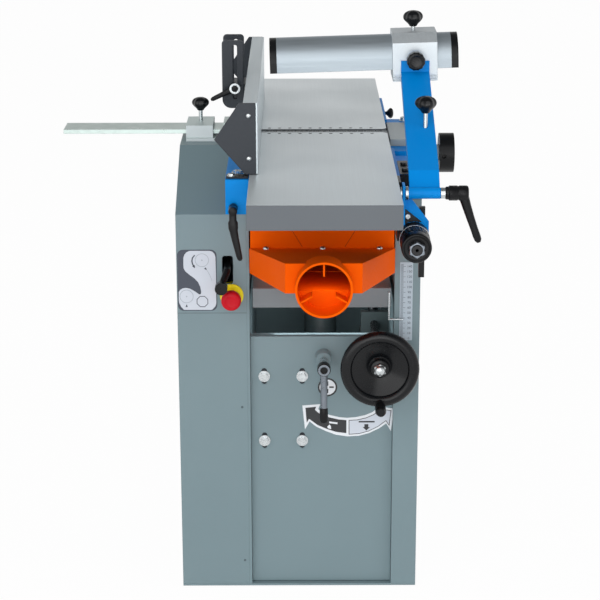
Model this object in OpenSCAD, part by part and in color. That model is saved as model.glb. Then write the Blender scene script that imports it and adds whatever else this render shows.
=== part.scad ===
// Combination planer thicknesser, set up for planing.
// X runs across the tables, Y from the infeed end to the outfeed end, Z up from the floor.
// The origin lies on the floor, midway between the four anchor holes and under the cutterblock.

/* [Tables] */
// Height of the planing tables above the floor
table_h = 850; // [830:1:870]
// Width of both tables
table_w = 260; // [250:1:264]
// Depth of the table edge
table_edge = 43; // [38:1:48]
// Thickness of the table plate
table_plate = 14; // [11:1:17]
// Length of the infeed table
infeed_len = 585; // [560:1:640]
// Length of the outfeed table
outfeed_len = 556; // [500:1:620]
// Gap between the two table lips
lip_gap = 30; // [28:1:34]

/* [Cutterblock] */
// Knife circle diameter
cutter_d = 72; // [66:1:74]
// Number of knives
knives = 3; // [2:1:4]
// Projection of the knives above the block
knife_out = 1.5; // [1:0.1:2]
// Diameter of the cutterblock shaft
cutter_shaft_d = 24; // [20:1:28]
// Feed roller diameter
roller_d = 38; // [34:1:40]
// Distance of each feed roller from the cutterblock
roller_y = 68; // [64:1:76]

/* [Base] */
// Depth of the base along the tables
base_l = 520; // [480:1:560]
// Gap between the table edge and each side plate
tunnel_clear = 5; // [4:0.5:10]
// Thickness of the side plates
wall = 5; // [4:0.5:8]
// Thickness of the folded sheet covers
sheet = 2; // [1.5:0.5:3]
// Width of the drive cover
drive_w = 130; // [124:1:150]
// Width of the column beside the handwheel
column_w = 43; // [38:1:60]
// Drop from the tables to the top of the drive cover
cover_drop = 10; // [9:1:14]
// Height of the sloped face of the drive cover
cover_slope_h = 92; // [70:1:110]
// Half length of the flat top of the drive cover
cover_flat = 82; // [74:1:110]
// Thickness of the floor plate
base_plate = 4; // [3:1:8]
// Anchor hole spacing across the tables
anchor_x = 220; // [160:1:230]
// Anchor hole spacing along the tables
anchor_y = 430; // [410:1:440]
// Anchor hole diameter
anchor_d = 12; // [10:1:16]

/* [Thicknesser bed] */
// Drop from the planing tables to the bed
bed_drop = 245; // [242:1:260]
// Gap between the bed and each side plate
bed_clear = 6; // [4:0.5:10]
// Length of the bed
bed_l = 516; // [480:1:540]
// Depth of the bed edge
bed_edge = 37; // [32:1:42]
// Travel of the bed below its rest height
bed_down = 35; // [20:1:38]
// Diameter of the guide column under the bed
bed_column_d = 64; // [56:1:80]

/* [Dust hood] */
// Outer diameter of the dust port
port_d = 100; // [90:1:104]
// Length of the dust port
port_len = 33; // [30:1:60]
// Drop from the planing tables to the floor of the hood
hood_drop = 207; // [203:1:212]
// Height of the hood funnel at the base
hood_h = 47; // [44:1:54]
// Reach of the hood funnel in front of the base
hood_reach = 229; // [200:1:240]

/* [Handwheel] */
// Handwheel diameter
wheel_d = 146; // [120:1:150]
// Distance of the handwheel axis inside the right side plate
wheel_in = 29; // [28:1:36]
// Distance of the handwheel face in front of the front panel
wheel_reach = 96; // [86:1:120]

/* [Fence] */
// Length of the fence
fence_len = 730; // [640:1:760]
// Height of the fence
fence_h = 127; // [110:1:129]
// Thickness of the fence profile
fence_t = 25; // [20:1:28]
// Distance of the fence face inside the table edge
fence_in = 15; // [8:1:20]
// Length of the guide bar
bar_len = 350; // [320:1:380]
// Width of the guide bar
bar_w = 66; // [50:1:72]
// Thickness of the guide bar
bar_t = 8; // [6:1:10]

/* [Bridge guard] */
// Length of the guard profile with its end caps
guard_len = 355; // [340:1:380]
// Width of the guard profile
guard_w = 84; // [76:1:88]
// Height of the guard profile
guard_h = 61; // [54:1:66]
// Height of the guard above the tables at its carriage
guard_lift = 139; // [136:1:160]
// Slope of the guard profile, in degrees
guard_slope = 1.8; // [0:0.1:2.5]
// Width of the guard arm
arm_w = 53; // [48:1:60]

/* [Hidden] */
$fn = 48;

// Overrun of every cut, running clearance in a bore, gap between passing pieces
over = 1;
fit = 0.05;
gap = 0.5;

// Colours
grey_paint = "#8399A0";
cast_grey = "#AEB8BA";
blue_paint = "#0082D6";
orange_paint = "#E85000";
steel = "#C4CACC";
black = "#232325";
dark_plate = "#4A4C52";

// Base planes
tunnel_w = table_w + 2 * tunnel_clear;
wall_in = tunnel_w / 2;
wall_out = wall_in + wall;
cover_x = -wall_out - drive_w;
column_x = wall_out + column_w;
base_y = base_l / 2;
cover_top = table_h - cover_drop;
crease_z = cover_top - cover_slope_h;
cutter_z = table_h - cutter_d / 2;
cutter_low = cutter_z - cutter_d / 2;
roller_bite = 1;
roller_z = cutter_low - roller_bite + roller_d / 2;
seam = 0.4;
bed_w = tunnel_w - 2 * bed_clear;
bed_z = table_h - bed_drop;
panel_gap = 25;
panel_top = bed_z - bed_edge - bed_down - panel_gap;
wheel_x = wall_in - wheel_in;
fence_x = table_w / 2 - fence_in;

// A box between two corners, and round bars along each axis
module slab(a, b) translate(a) cube(b - a);
module rod_x(p, r, l) translate(p) rotate([0, 90, 0]) cylinder(r = r, h = l);
module rod_y(p, r, l) translate(p) rotate([-90, 0, 0]) cylinder(r = r, h = l);
module rod_z(p, r, l) translate(p) cylinder(r = r, h = l);

// A flat outline in Y and Z drawn out along X, and one in X and Z drawn out along Y
module along_x(x0, x1) translate([x0, 0, 0]) rotate([90, 0, 90]) linear_extrude(x1 - x0) children();
module along_y(y0, y1) translate([0, y1, 0]) rotate([90, 0, 0]) linear_extrude(y1 - y0) children();

// Anticlockwise outline moved inwards by t
function inset(p, t) = let (n = len(p)) [for (i = [0:n - 1])
  let (a = p[(i + n - 1) % n], b = p[i], c = p[(i + 1) % n],
    u = (b - a) / norm(b - a), v = (c - b) / norm(c - b),
    nu = [-u[1], u[0]], nv = [-v[1], v[0]])
  b + (nu + nv) * t / (1 + nu * nv)];

// Upright slot with round ends, centred
module slot_outline(w, h) {
  square([w, h - w], center = true);
  for (s = [-1, 1]) translate([0, s * (h - w) / 2]) circle(d = w);
}

// Flat outline with round corners, its low corner at the origin
module rounded(w, h, r) {
  translate([r, 0]) square([w - 2 * r, h]);
  translate([0, r]) square([w, h - 2 * r]);
  for (x = [r, w - r], y = [r, h - r]) translate([x, y]) circle(r = r);
}

// Base plate with its anchor holes
base_rim = 70;
module base_frame() color(grey_paint) difference() {
  slab([cover_x, -base_y, 0], [column_x, base_y, base_plate]);
  slab([cover_x + base_rim, -base_y + base_rim, -over], [column_x - base_rim, base_y - base_rim, base_plate + over]);
  for (x = [-1, 1], y = [-1, 1])
    rod_z([x * anchor_x / 2, y * anchor_y / 2, -over], anchor_d / 2, base_plate + 2 * over);
}

// Side outline of the drive cover, the same before and behind
cover_outline = [[-base_y, base_plate], [base_y, base_plate], [base_y, crease_z], [cover_flat, cover_top],
  [-cover_flat, cover_top], [-base_y, crease_z]];

// Shaft bores that both side plates and both housings share
bearing_r = 20;
journal_r = 8;
module shaft_bores(x0, x1) {
  rod_x([x0, 0, cutter_z], bearing_r, x1 - x0);
  for (s = [-1, 1]) rod_x([x0, s * roller_y, roller_z], journal_r + fit, x1 - x0);
}

// Motor axis, low behind the front panel
panel_set = 12;
panel_y = -base_y + panel_set;
motor_drop = 144;
motor_z = panel_top - motor_drop;
motor_r = 68;
motor_foot_t = 8;
motor_foot_gap = 6;
motor_y = panel_y + sheet + motor_foot_t + motor_foot_gap + motor_r;
motor_hole_r = 16;
module left_side_plate() color(grey_paint) {
  difference() {
    along_x(-wall_out, -wall_in) polygon(cover_outline);
    shaft_bores(-wall_out - over, -wall_in + over);
    rod_x([-wall_out - over, motor_y, motor_z], motor_hole_r, wall + 2 * over);
    rod_x([-wall_out - over, finger_y, finger_z], finger_rod_r + fit, wall + 2 * over);
  }
  hood_ledge(-1);
  selector_pin();
}

housing_z_drop = 2;
housing_z = cutter_low - housing_z_drop;
// Ledge inside a side plate that carries the hood
rail_w = 14;
rail_t = 8;
module hood_ledge(s) {
  x = s * (wall_in - rail_w / 2);
  slab([x - rail_w / 2, -base_y + flange, hood_z - rail_t], [x + rail_w / 2, 0, hood_z]);
}

// Folded drive cover, open towards the side plate, with the lever slot and the stop button hole
selector_off = 35;
selector_x = -wall_out - selector_off;
selector_slot_w = 20;
selector_slot_h = 54;
selector_slot_r = 5;
selector_slot_z_drop = 208;
selector_slot_z = table_h - selector_slot_z_drop;
estop_off = 28;
estop_x = -wall_out - estop_off;
estop_z_drop = 257;
estop_z = table_h - estop_z_drop;
estop_stem_r = 10;
gland_off = 65;
gland_x = -wall_out - gland_off;
gland_z = 120;
gland_r = 10;
module drive_cover() color(grey_paint) difference() {
  along_x(cover_x, -wall_out) polygon(cover_outline);
  along_x(cover_x + sheet, -wall_out + over) polygon(inset(cover_outline, sheet));
  slab([cover_x + sheet, -base_y + sheet, base_plate - over], [-wall_out + over, base_y - sheet, base_plate + sheet + over]);
  along_y(-base_y - over, -base_y + sheet + over) translate([selector_x - selector_slot_w / 2, selector_slot_z - selector_slot_h / 2])
    rounded(selector_slot_w, selector_slot_h, selector_slot_r);
  rod_y([estop_x, -base_y - over, estop_z], estop_stem_r + gap, sheet + 2 * over);
  rod_y([gland_x, base_y - sheet - over, gland_z], gland_r, sheet + 2 * over);
}

// Box column on the handwheel side with its inner side plate
module right_column() color(grey_paint) {
  difference() {
    slab([wall_in, -base_y, base_plate], [column_x, base_y, housing_z]);
    slab([wall_out, -base_y + sheet, base_plate - over], [column_x - sheet, base_y - sheet, housing_z - sheet]);
  }
  hood_ledge(1);
}

// Front and rear panels between the side plates, with inward flanges
panel_foot = 1;
flange = 22;
module panel(y) {
  slab([-wall_in + seam, y, base_plate + panel_foot], [wall_in - seam, y + sheet, panel_top]);
  slab([-wall_in + seam, y, panel_top - sheet], [wall_in - seam, y + flange, panel_top]);
  for (s = [-1, 1]) {
    x = s * (wall_in - seam - sheet / 2);
    slab([x - sheet / 2, y, base_plate + panel_foot], [x + sheet / 2, y + flange, panel_top]);
  }
}

motor_in = 7;
motor_x0 = -wall_in + motor_in;
motor_free = 43;
motor_x1 = wall_in - motor_free;
motor_bolt_in = 19;
motor_bolt_pitch = 72;
motor_bolt_x = [motor_x0 + motor_bolt_in, motor_x0 + motor_bolt_in + motor_bolt_pitch];
motor_bolt_h = 130;
motor_bolt_r = 4;
motor_slot_w = 10;
motor_slot_h = 32;
wheel_z_drop = 36;
wheel_z = panel_top - wheel_z_drop;
wheel_shaft_r = 8;
lever_x = 3;
lever_z_drop = 39;
lever_z = panel_top - lever_z_drop;
lever_shaft_r = 7;
module front_panel() color(grey_paint) difference() {
  panel(panel_y);
  for (x = motor_bolt_x, s = [-1, 1]) along_y(panel_y - over, panel_y + sheet + over)
    translate([x, motor_z + s * motor_bolt_h / 2]) slot_outline(motor_slot_w, motor_slot_h);
  rod_y([wheel_x, panel_y - over, wheel_z], wheel_shaft_r + fit, sheet + 2 * over);
  rod_y([lever_x, panel_y - over, lever_z], lever_shaft_r + fit, sheet + 2 * over);
}
module rear_panel() color(grey_paint) mirror([0, 1, 0]) panel(panel_y);

// Bearing housings outside the side plates
housing_half = 92;
housing_left_w = 20;
housing_right_w = 40;
housing_top_drop = 2;
housing_top = cover_top - sheet - housing_top_drop;
housing_back = 128;
housing_front = 37;
housing_step_drop = 28;
housing_step = cover_top - housing_step_drop;
module bearing_housings() color(cast_grey) {
  difference() {
    slab([-wall_out - housing_left_w, -housing_half, housing_z], [-wall_out, housing_half, housing_top]);
    shaft_bores(-wall_out - housing_left_w - over, -wall_out + over);
    slope_cut();
  }
  difference() {
    union() {
      slab([wall_in, -housing_half, housing_z], [wall_out + housing_right_w, housing_back, housing_step]);
      slab([wall_in, -housing_front, housing_step], [wall_out + housing_right_w, housing_back, cover_top]);
      rod_x([wall_out + housing_right_w, depth_y, depth_z], depth_boss_r, depth_boss_x - wall_out - housing_right_w);
    }
    shaft_bores(wall_in - over, wall_out + housing_right_w + over);
    rod_x([wall_in - over, finger_y, finger_z], finger_rod_r + fit, wall + over);
    rod_x([depth_boss_x - depth_seat, depth_y, depth_z], depth_shaft_r + fit, depth_seat + over);
  }
}
// Keeps the housing corners inside the sloped cover
module slope_cut() for (s = [0, 1]) mirror([0, s, 0])
  along_x(-wall_out - housing_left_w - over, -wall_out + over) polygon([
    [cover_flat - 4 * sheet, cover_top], [base_y, crease_z - 4 * sheet], [base_y, cover_top]]);

// Ball bearings of the cutterblock, inside both housings
bearing_w = 15;
bearing_in = 2;
module bearing(x) difference() {
  rod_x([x, 0, cutter_z], bearing_r, bearing_w);
  rod_x([x - over, 0, cutter_z], cutter_shaft_d / 2 + fit, bearing_w + 2 * over);
  for (e = [x - bearing_in, x + bearing_w - bearing_in]) difference() {
    rod_x([e, 0, cutter_z], (bearing_r + cutter_shaft_d / 2) / 2 + bearing_in, 2 * bearing_in);
    rod_x([e - over, 0, cutter_z], (bearing_r + cutter_shaft_d / 2) / 2 - bearing_in, 2 * bearing_in + 2 * over);
  }
}
module cutter_bearings() color(steel) {
  bearing(-wall_out - bearing_in - bearing_w);
  bearing(wall_out + bearing_in);
}

// Motor with foot plate, cooling fins and fan cowl
motor_cowl = 46;
motor_fin_t = 3;
motor_fin_h = 5;
motor_fins = 20;
motor_shaft_r = 12;
motor_foot_edge = 16;
module motor() color(grey_paint) difference() {
  union() {
    rod_x([motor_x0, motor_y, motor_z], motor_r - motor_fin_h, motor_x1 - motor_x0 - motor_cowl);
    rod_x([motor_x1 - motor_cowl, motor_y, motor_z], motor_r, motor_cowl);
    for (i = [0:motor_fins - 1]) translate([motor_x0 + motor_foot_edge, motor_y, motor_z])
      rotate([(i + 0.5) * 360 / motor_fins, 0, 0]) slab([0, -motor_fin_t / 2, motor_r - 2 * motor_fin_h],
        [motor_x1 - motor_cowl - motor_x0 - 2 * motor_foot_edge, motor_fin_t / 2, motor_r - over]);
    slab([motor_bolt_x[0] - motor_foot_edge, panel_y + sheet, motor_z - motor_bolt_h / 2 - motor_foot_edge],
      [motor_bolt_x[1] + motor_foot_edge, panel_y + sheet + motor_foot_t, motor_z + motor_bolt_h / 2 + motor_foot_edge]);
    slab([motor_bolt_x[0], panel_y + sheet, motor_z - motor_foot_edge], [motor_bolt_x[1], motor_y - motor_r / 2, motor_z + motor_foot_edge]);
  }
  rod_x([motor_x0 - over, motor_y, motor_z], motor_shaft_r + fit, motor_cowl + 2 * motor_foot_edge);
  for (x = motor_bolt_x, s = [-1, 1])
    rod_y([x, panel_y, motor_z + s * motor_bolt_h / 2], motor_bolt_r, 2 * motor_foot_t);
}

// Bolts with washers that hold the motor in its slots
washer_r = 11;
washer_t = 2.5;
bolt_head_r = 8;
bolt_head_t = 6;
module motor_bolts() color(steel) for (x = motor_bolt_x, s = [-1, 1])
  translate([x, panel_y, motor_z + s * motor_bolt_h / 2]) rotate([-90, 0, 0]) {
    translate([0, 0, -washer_t]) cylinder(r = washer_r, h = washer_t);
    translate([0, 0, -washer_t - bolt_head_t]) cylinder(r = bolt_head_r, h = bolt_head_t, $fn = 6);
    cylinder(r = motor_bolt_r, h = sheet + motor_foot_t);
  }

// Belt from the motor to the cutterblock
belt_off = 74;
belt_x = -wall_out - belt_off;
belt_w = 20;
belt_t = 3;
cutter_pulley_r = 19;
motor_pulley_r = 45;
module belt_run(grow) hull() {
  translate([0, cutter_z]) circle(r = cutter_pulley_r + grow, $fn = 32);
  translate([motor_y, motor_z]) circle(r = motor_pulley_r + grow, $fn = 32);
}
module drive_belt() color(black) along_x(belt_x, belt_x + belt_w) difference() {
  belt_run(belt_t);
  belt_run(gap);
}

// Feed gearbox with one chain to each roller
gearbox_z_drop = 106;
gearbox_z = roller_z - gearbox_z_drop;
gearbox_half = 45;
gearbox_h = 36;
gearbox_w = 22;
sprocket_r = 16;
sprocket_w = 6;
chain_t = 5;
chain_w = 5;
chain_off = 30;
chain_pitch = 12;
chain_x = [-wall_out - chain_off, -wall_out - chain_off - chain_pitch];
module feed_gearbox() color(cast_grey) difference() {
  slab([-wall_out - gearbox_w, -gearbox_half, gearbox_z - gearbox_h], [-wall_out, gearbox_half, gearbox_z + gearbox_h]);
  rod_x([-wall_out - gearbox_w - over, 0, gearbox_z], journal_r + fit, gearbox_w + over);
}
module chain_run(side, grow) hull() {
  translate([0, gearbox_z]) circle(r = sprocket_r + grow, $fn = 24);
  translate([side * roller_y, roller_z]) circle(r = sprocket_r + grow, $fn = 24);
}
module feed_chains() color(steel) for (i = [0, 1]) {
  side = i == 0 ? -1 : 1;
  along_x(chain_x[i], chain_x[i] + chain_w) difference() {
    chain_run(side, chain_t);
    chain_run(side, gap);
  }
}
// A sprocket with its teeth just inside the chain
sprocket_teeth = 14;
sprocket_tooth = 2;
module sprocket(x) translate([x, 0, 0]) rotate([0, 90, 0]) {
  cylinder(r = sprocket_r - sprocket_tooth, h = chain_w);
  for (i = [0:sprocket_teeth - 1]) rotate([0, 0, i * 360 / sprocket_teeth])
    translate([sprocket_r - sprocket_tooth, 0, chain_w / 2])
      cube([2 * sprocket_tooth, sprocket_tooth, chain_w / 2], center = true);
}
module drive_sprocket() color(steel) translate([0, 0, gearbox_z]) {
  rod_x([chain_x[1] - gap, 0, 0], journal_r, -wall_out - wall - chain_x[1] + gap);
  for (x = chain_x) sprocket(x);
}

// Cross bars that carry the tables, with the inclined way under the infeed table
way_y = 215;
way_half = 30;
way_bar_z_drop = 98;
way_bar_z = table_h - way_bar_z_drop;
way_bar_t = 16;
way_angle = 30;
table_skirt = 12;
rib_x = (table_w / 2 - table_skirt) / 2;
way_clear = 3;
way_pad = rib_x - table_skirt / 2 - way_clear;
seat_in = 4;
way_mid_drop = 62;
way_mid = table_h - way_mid_drop;
function way_line(y) = way_mid + (y + way_y) * tan(way_angle);
module table_supports() color(blue_paint) {
  for (s = [-1, 1]) slab([-wall_in, s * way_y - way_half, way_bar_z], [wall_in, s * way_y + way_half, way_bar_z + way_bar_t]);
  along_x(-way_pad, way_pad) polygon([[-way_y - way_half, way_bar_z + way_bar_t], [-way_y + way_half, way_bar_z + way_bar_t],
    [-way_y + way_half, way_line(-way_y + way_half)], [-way_y - way_half, way_line(-way_y - way_half)]]);
  slab([-way_pad, way_y - way_half, way_bar_z + way_bar_t], [way_pad, way_y + way_half, table_h - table_plate]);
  slab([wall_in, -housing_half + seat_in, housing_step], [wall_out + housing_right_w - seat_in, -housing_front - seat_in, housing_step + way_bar_t]);
}

// Ribbed table casting, drawn as the infeed table
lip_free = 105;
lip_clear = 1.5;
lip_hole_r = 3.5;
lip_hole_in = 11;
lip_hole_deep = 3;
lip_hole_pitch = 20;
lip_corner = 12;
module table_casting(len) difference() {
  union() {
    slab([-table_w / 2, -lip_gap / 2 - len, table_h - table_plate], [table_w / 2, -lip_gap / 2, table_h]);
    slab([-table_w / 2, -lip_gap / 2 - len, table_h - table_edge], [table_w / 2, -lip_free, table_h - table_plate]);
  }
  for (x = [[-table_w / 2 + table_skirt, -rib_x - table_skirt / 2], [-rib_x + table_skirt / 2, rib_x - table_skirt / 2],
      [rib_x + table_skirt / 2, table_w / 2 - table_skirt]])
    slab([x[0], -lip_gap / 2 - len + table_skirt, table_h - table_edge - over], [x[1], -lip_free + over, table_h - table_plate]);
  rod_x([-table_w / 2 - over, 0, cutter_z], cutter_d / 2 + lip_clear, table_w + 2 * over);
  for (x = [-floor(table_w / 2 / lip_hole_pitch - 1):floor(table_w / 2 / lip_hole_pitch - 1)])
    rod_z([x * lip_hole_pitch, -lip_gap / 2 - lip_hole_in, table_h - lip_hole_deep], lip_hole_r, lip_hole_deep + over);
  for (s = [-1, 1]) translate([s * table_w / 2, -lip_gap / 2, table_h - table_edge])
    rotate([0, 0, 45]) translate([-lip_corner / 2, -lip_corner / 2, 0]) cube([lip_corner, lip_corner, table_edge + over]);
}
module outfeed_table() color(cast_grey) mirror([0, 1, 0]) table_casting(outfeed_len);
module infeed_table() color(cast_grey) {
  table_casting(infeed_len);
  along_x(-way_pad, way_pad) polygon([[-way_y - way_half, way_line(-way_y - way_half) + gap],
    [-way_y + way_half, way_line(-way_y + way_half) + gap],
    [-way_y + way_half, table_h - table_plate], [-way_y - way_half, table_h - table_plate]]);
}

// Blue clamp bracket beside the outfeed table, with its bolt
outfeed_bracket_y = housing_back;
outfeed_bracket_l = 34;
outfeed_bracket_r = 17;
out_plate_t = 6;
out_plate_l = 235;
out_plate_top = 5;
module outfeed_bracket() color(blue_paint) {
  slab([wall_in, outfeed_bracket_y, housing_z], [wall_out + outfeed_bracket_l, outfeed_bracket_y + 2 * outfeed_bracket_r, cover_top]);
  rod_z([wall_out + outfeed_bracket_l, outfeed_bracket_y + outfeed_bracket_r, housing_z], outfeed_bracket_r, cover_top - housing_z);
  rod_z([wall_out + outfeed_bracket_l, outfeed_bracket_y + outfeed_bracket_r, cover_top], bolt_head_r, bolt_head_t);
  slab([table_w / 2, outfeed_bracket_y, table_h - table_edge], [table_w / 2 + out_plate_t, outfeed_bracket_y + out_plate_l, table_h - out_plate_top]);
}

// Dust hood: a chute under the cutterblock, a funnel in front of the base and the round port
hood_z = table_h - hood_drop;
hood_wide_drop = 3;
hood_wide = wall_in - hood_wide_drop;
hood_wing_drop = 1;
hood_wing = wall_in - hood_wing_drop;
hood_rear = 25;
hood_y = -base_y - hood_rear;
funnel_y = -base_y - hood_reach;
hood_top_drop = 12;
hood_top = cutter_low - hood_top_drop;
hood_mouth = 60;
hood_lip = 70;
hood_back = 80;
port_z_drop = 170;
port_z = table_h - port_z_drop;
port_rib_t = 3;
port_rib_h = 22;
port_rib_l = 28;
port_in = 20;
port_step = 2;
port_wall = 4;
port_relief = 2;
hood_riser = 38;
hood_rise = 22;
funnel_half = 67;
funnel_h = 54;
chute_outline = [[hood_y, hood_z], [0, hood_z], [hood_back, hood_z + hood_h], [hood_lip, hood_top], [-hood_lip, hood_top],
  [hood_y, hood_z + hood_h + hood_riser]];
funnel_plan = [[-hood_wing, hood_y], [-funnel_half, funnel_y], [funnel_half, funnel_y], [hood_wing, hood_y]];
funnel_side = [[funnel_y, hood_z + hood_rise], [hood_y, hood_z], [hood_y, hood_z + hood_h], [funnel_y, hood_z + hood_rise + funnel_h]];
module funnel(t) intersection() {
  translate([0, 0, hood_z - over]) linear_extrude(hood_rise + funnel_h + 2 * over) polygon(t == 0 ? funnel_plan : inset(funnel_plan, t));
  along_x(-wall_in, wall_in) polygon(t == 0 ? funnel_side : inset(funnel_side, t));
}
module dust_hood() color(orange_paint) {
  difference() {
    union() {
      along_x(-hood_wide, hood_wide) polygon(chute_outline);
      funnel(0);
      rod_y([0, funnel_y - port_len, port_z], port_d / 2, port_len - port_relief);
      rod_y([0, funnel_y - port_relief - over, port_z], port_d / 2 - port_step, port_relief + over + port_in);
    }
    along_x(-hood_wide + sheet, hood_wide - sheet) polygon(inset(chute_outline, sheet));
    slab([-hood_wide + sheet, -hood_mouth, hood_top - 2 * sheet], [hood_wide - sheet, hood_mouth, hood_top + over]);
    funnel(sheet);
    slab([-hood_wide + 2 * sheet, hood_y - 2 * sheet, hood_z + 2 * sheet], [hood_wide - 2 * sheet, hood_y + 2 * sheet, hood_z + hood_h - sheet]);
    rod_y([0, funnel_y - port_len - over, port_z], port_d / 2 - port_wall, port_len + over + port_in - sheet);
  }
  for (a = [90, 210, 330]) translate([0, funnel_y - port_len / 2, port_z]) rotate([0, -a, 0])
    slab([port_d / 2 - port_wall - port_rib_h, -port_rib_l / 2, -port_rib_t / 2], [port_d / 2 - port_wall / 2, port_rib_l / 2, port_rib_t / 2]);
}

// Guide sleeve of the bed column on its bridge between the side plates
sleeve_wall = 12;
sleeve_len = 223;
sleeve_top_drop = 85;
sleeve_top = panel_top - sleeve_top_drop;
sleeve_low = sleeve_top - sleeve_len;
bridge_t = 12;
bridge_half = 60;
module column_sleeve() {
  difference() {
    rod_z([0, 0, sleeve_low], bed_column_d / 2 + sleeve_wall, sleeve_top - sleeve_low);
    rod_z([0, 0, sleeve_low - over], bed_column_d / 2 + fit, sleeve_top - sleeve_low + 2 * over);
  }
  slab([-wall_in, -bridge_half, sleeve_low - bridge_t], [wall_in, bridge_half, sleeve_low]);
}

// Bracket on the side plate that carries the handwheel shaft and the lift screw
screw_shaft_r = 10;
bevel_r = 22;
bevel_w = 10;
bracket_half = 26;
bracket_t = 12;
bracket_drop = 30;
shaft_plate_y = -62;
module gear_bracket() difference() {
  union() {
    slab([wheel_x - bracket_half, -bracket_half, wheel_z - bracket_drop - bracket_t], [wall_in, bracket_half, wheel_z - bracket_drop]);
    slab([wheel_x - bracket_half, shaft_plate_y, wheel_z - bracket_drop - bracket_t], [wall_in, shaft_plate_y + bracket_t, wheel_z + bracket_half]);
    slab([wheel_x - bracket_half, shaft_plate_y, wheel_z - bracket_drop - bracket_t], [wall_in, -bracket_half, wheel_z - bracket_drop]);
  }
  rod_z([wheel_x, 0, wheel_z - bracket_drop - bracket_t - over], screw_shaft_r + fit, bracket_t + 2 * over);
  rod_y([wheel_x, shaft_plate_y - over, wheel_z], wheel_shaft_r + fit, bracket_t + 2 * over);
}

// Both castings carry the lift of the bed
module lift_casting() color(cast_grey) {
  column_sleeve();
  gear_bracket();
}

// Height scale on the column
scale_x_rise = 5;
scale_x = wall_out + scale_x_rise;
scale_w = 24;
scale_h = 152;
scale_t = 1;
scale_z_drop = 101;
scale_z = bed_z - scale_z_drop;
module height_scale() color("#D8DEE0")
  slab([scale_x, -base_y - scale_t, scale_z], [scale_x + scale_w, -base_y, scale_z + scale_h]);

// Yellow backing ring and contact block of the stop button
estop_ring_r = 22;
estop_ring_t = 3.5;
estop_block = 30;
estop_block_l = 40;
module estop_ring() color("#F0E000") difference() {
  union() {
    rod_y([estop_x, -base_y - estop_ring_t, estop_z], estop_ring_r, estop_ring_t);
    slab([estop_x - estop_block / 2, -base_y + sheet, estop_z - estop_block / 2],
      [estop_x + estop_block / 2, -base_y + sheet + estop_block_l, estop_z + estop_block / 2]);
    rod_y([estop_x, -base_y - estop_ring_t, estop_z], estop_stem_r + gap, estop_ring_t + 2 * sheet);
  }
  rod_y([estop_x, -base_y - estop_ring_t - over, estop_z], estop_stem_r + fit - over / 2, estop_ring_t + sheet + estop_block_l / 2);
}

// Pivot pin of the selector lever on the side plate
selector_y = -200;
selector_z_rise = 6;
selector_z = selector_slot_z + selector_z_rise;
selector_pin_r = 5;
selector_boss_r = 9;
selector_hub_r = 11;
selector_hub_w = 14;
module selector_pin() {
  rod_x([selector_x - selector_hub_w / 2 - gap, selector_y, selector_z], selector_pin_r, -wall_out - selector_x + selector_hub_w / 2 + gap);
  rod_x([selector_x + selector_hub_w / 2 + gap, selector_y, selector_z], selector_boss_r, -wall_out - selector_x - selector_hub_w / 2 - gap);
}

// Block on the drive cover that the guide bar slides through, with its foot and clamp plate
bar_z_rise = 2;
bar_z = table_h + bar_z_rise;
block_in = 10;
block_x = cover_x + block_in;
block_w = 52;
block_half = 45;
block_h = 30;
block_foot = 6;
module fence_clamp_block() color(steel) difference() {
  union() {
    slab([block_x, -block_half, cover_top], [block_x + block_w, block_half, cover_top + block_h]);
    slab([block_x, -block_half - block_foot, cover_top], [block_x + block_w + block_foot, block_half + block_foot, cover_top + block_foot]);
  }
  slab([block_x - over, -bar_w / 2 - gap, bar_z - gap], [block_x + block_w + over, bar_w / 2 + gap, bar_z + bar_t + gap]);
  rod_z([block_x + block_w / 2, knob_y, bar_z + bar_t], stud_r + fit, block_h);
}

// Cable gland at the back of the drive cover
gland_len = 22;
gland_nut_r = 14;
module cable_gland() color(black) difference() {
  union() {
    rod_y([gland_x, base_y - sheet, gland_z], gland_r, sheet + gland_len);
    translate([gland_x, base_y, gland_z]) rotate([-90, 0, 0]) cylinder(r = gland_nut_r, h = gland_len / 2, $fn = 6);
  }
  rod_y([gland_x, base_y - sheet - over, gland_z], gland_r / 2, gland_len + sheet + 2 * over);
}

// Bearing boss of the depth wheel on the right housing
depth_y = -50;
depth_z_drop = 33;
depth_z = table_h - depth_z_drop;
depth_boss_r = 16;
depth_boss_out = 88;
depth_boss_x = wall_out + depth_boss_out;
depth_shaft_r = 8;
depth_seat = 30;

// Cutterblock with a gullet in front of each knife
block_len_drop = 8;
block_len = 2 * wall_in - block_len_drop;
gullet_r = 11;
gullet_in = 3;
knife_t = 3;
knife_deep = 16;
cutter_r = cutter_d / 2 - knife_out;
cutter_shaft_end = 2;
cutter_shaft_l = cutter_shaft_end - belt_x;
module around_cutter() translate([0, 0, cutter_z])
  for (i = [0:knives - 1]) rotate([i * 360 / knives, 0, 0]) children();
module cutterblock() color(steel) {
  difference() {
    rod_x([-block_len / 2, 0, cutter_z], cutter_r, block_len);
    around_cutter() {
      rod_x([-block_len / 2 - over, gullet_r + knife_t / 2, cutter_r + gullet_in], gullet_r, block_len + 2 * over);
      slab([-block_len / 2 - over, -knife_t / 2, cutter_r - knife_deep], [block_len / 2 + over, knife_t / 2, cutter_r + over]);
    }
  }
  rod_x([-cutter_shaft_l, 0, cutter_z], cutter_shaft_d / 2, cutter_shaft_l - block_len / 2);
  rod_x([block_len / 2, 0, cutter_z], cutter_shaft_d / 2, wall_out + bearing_w + 2 * bearing_in - block_len / 2);
  translate([0, 0, cutter_z]) pulley(cutter_pulley_r, cutter_shaft_d / 2);
}
module planer_knives() color("#DDE2E4") around_cutter() along_x(-block_len / 2, block_len / 2) polygon([
  [-knife_t / 2, cutter_r - knife_deep], [knife_t / 2, cutter_r - knife_deep], [knife_t / 2, cutter_r + knife_out],
  [-knife_t / 2, cutter_r + knife_out - knife_t / 2]]);

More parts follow.
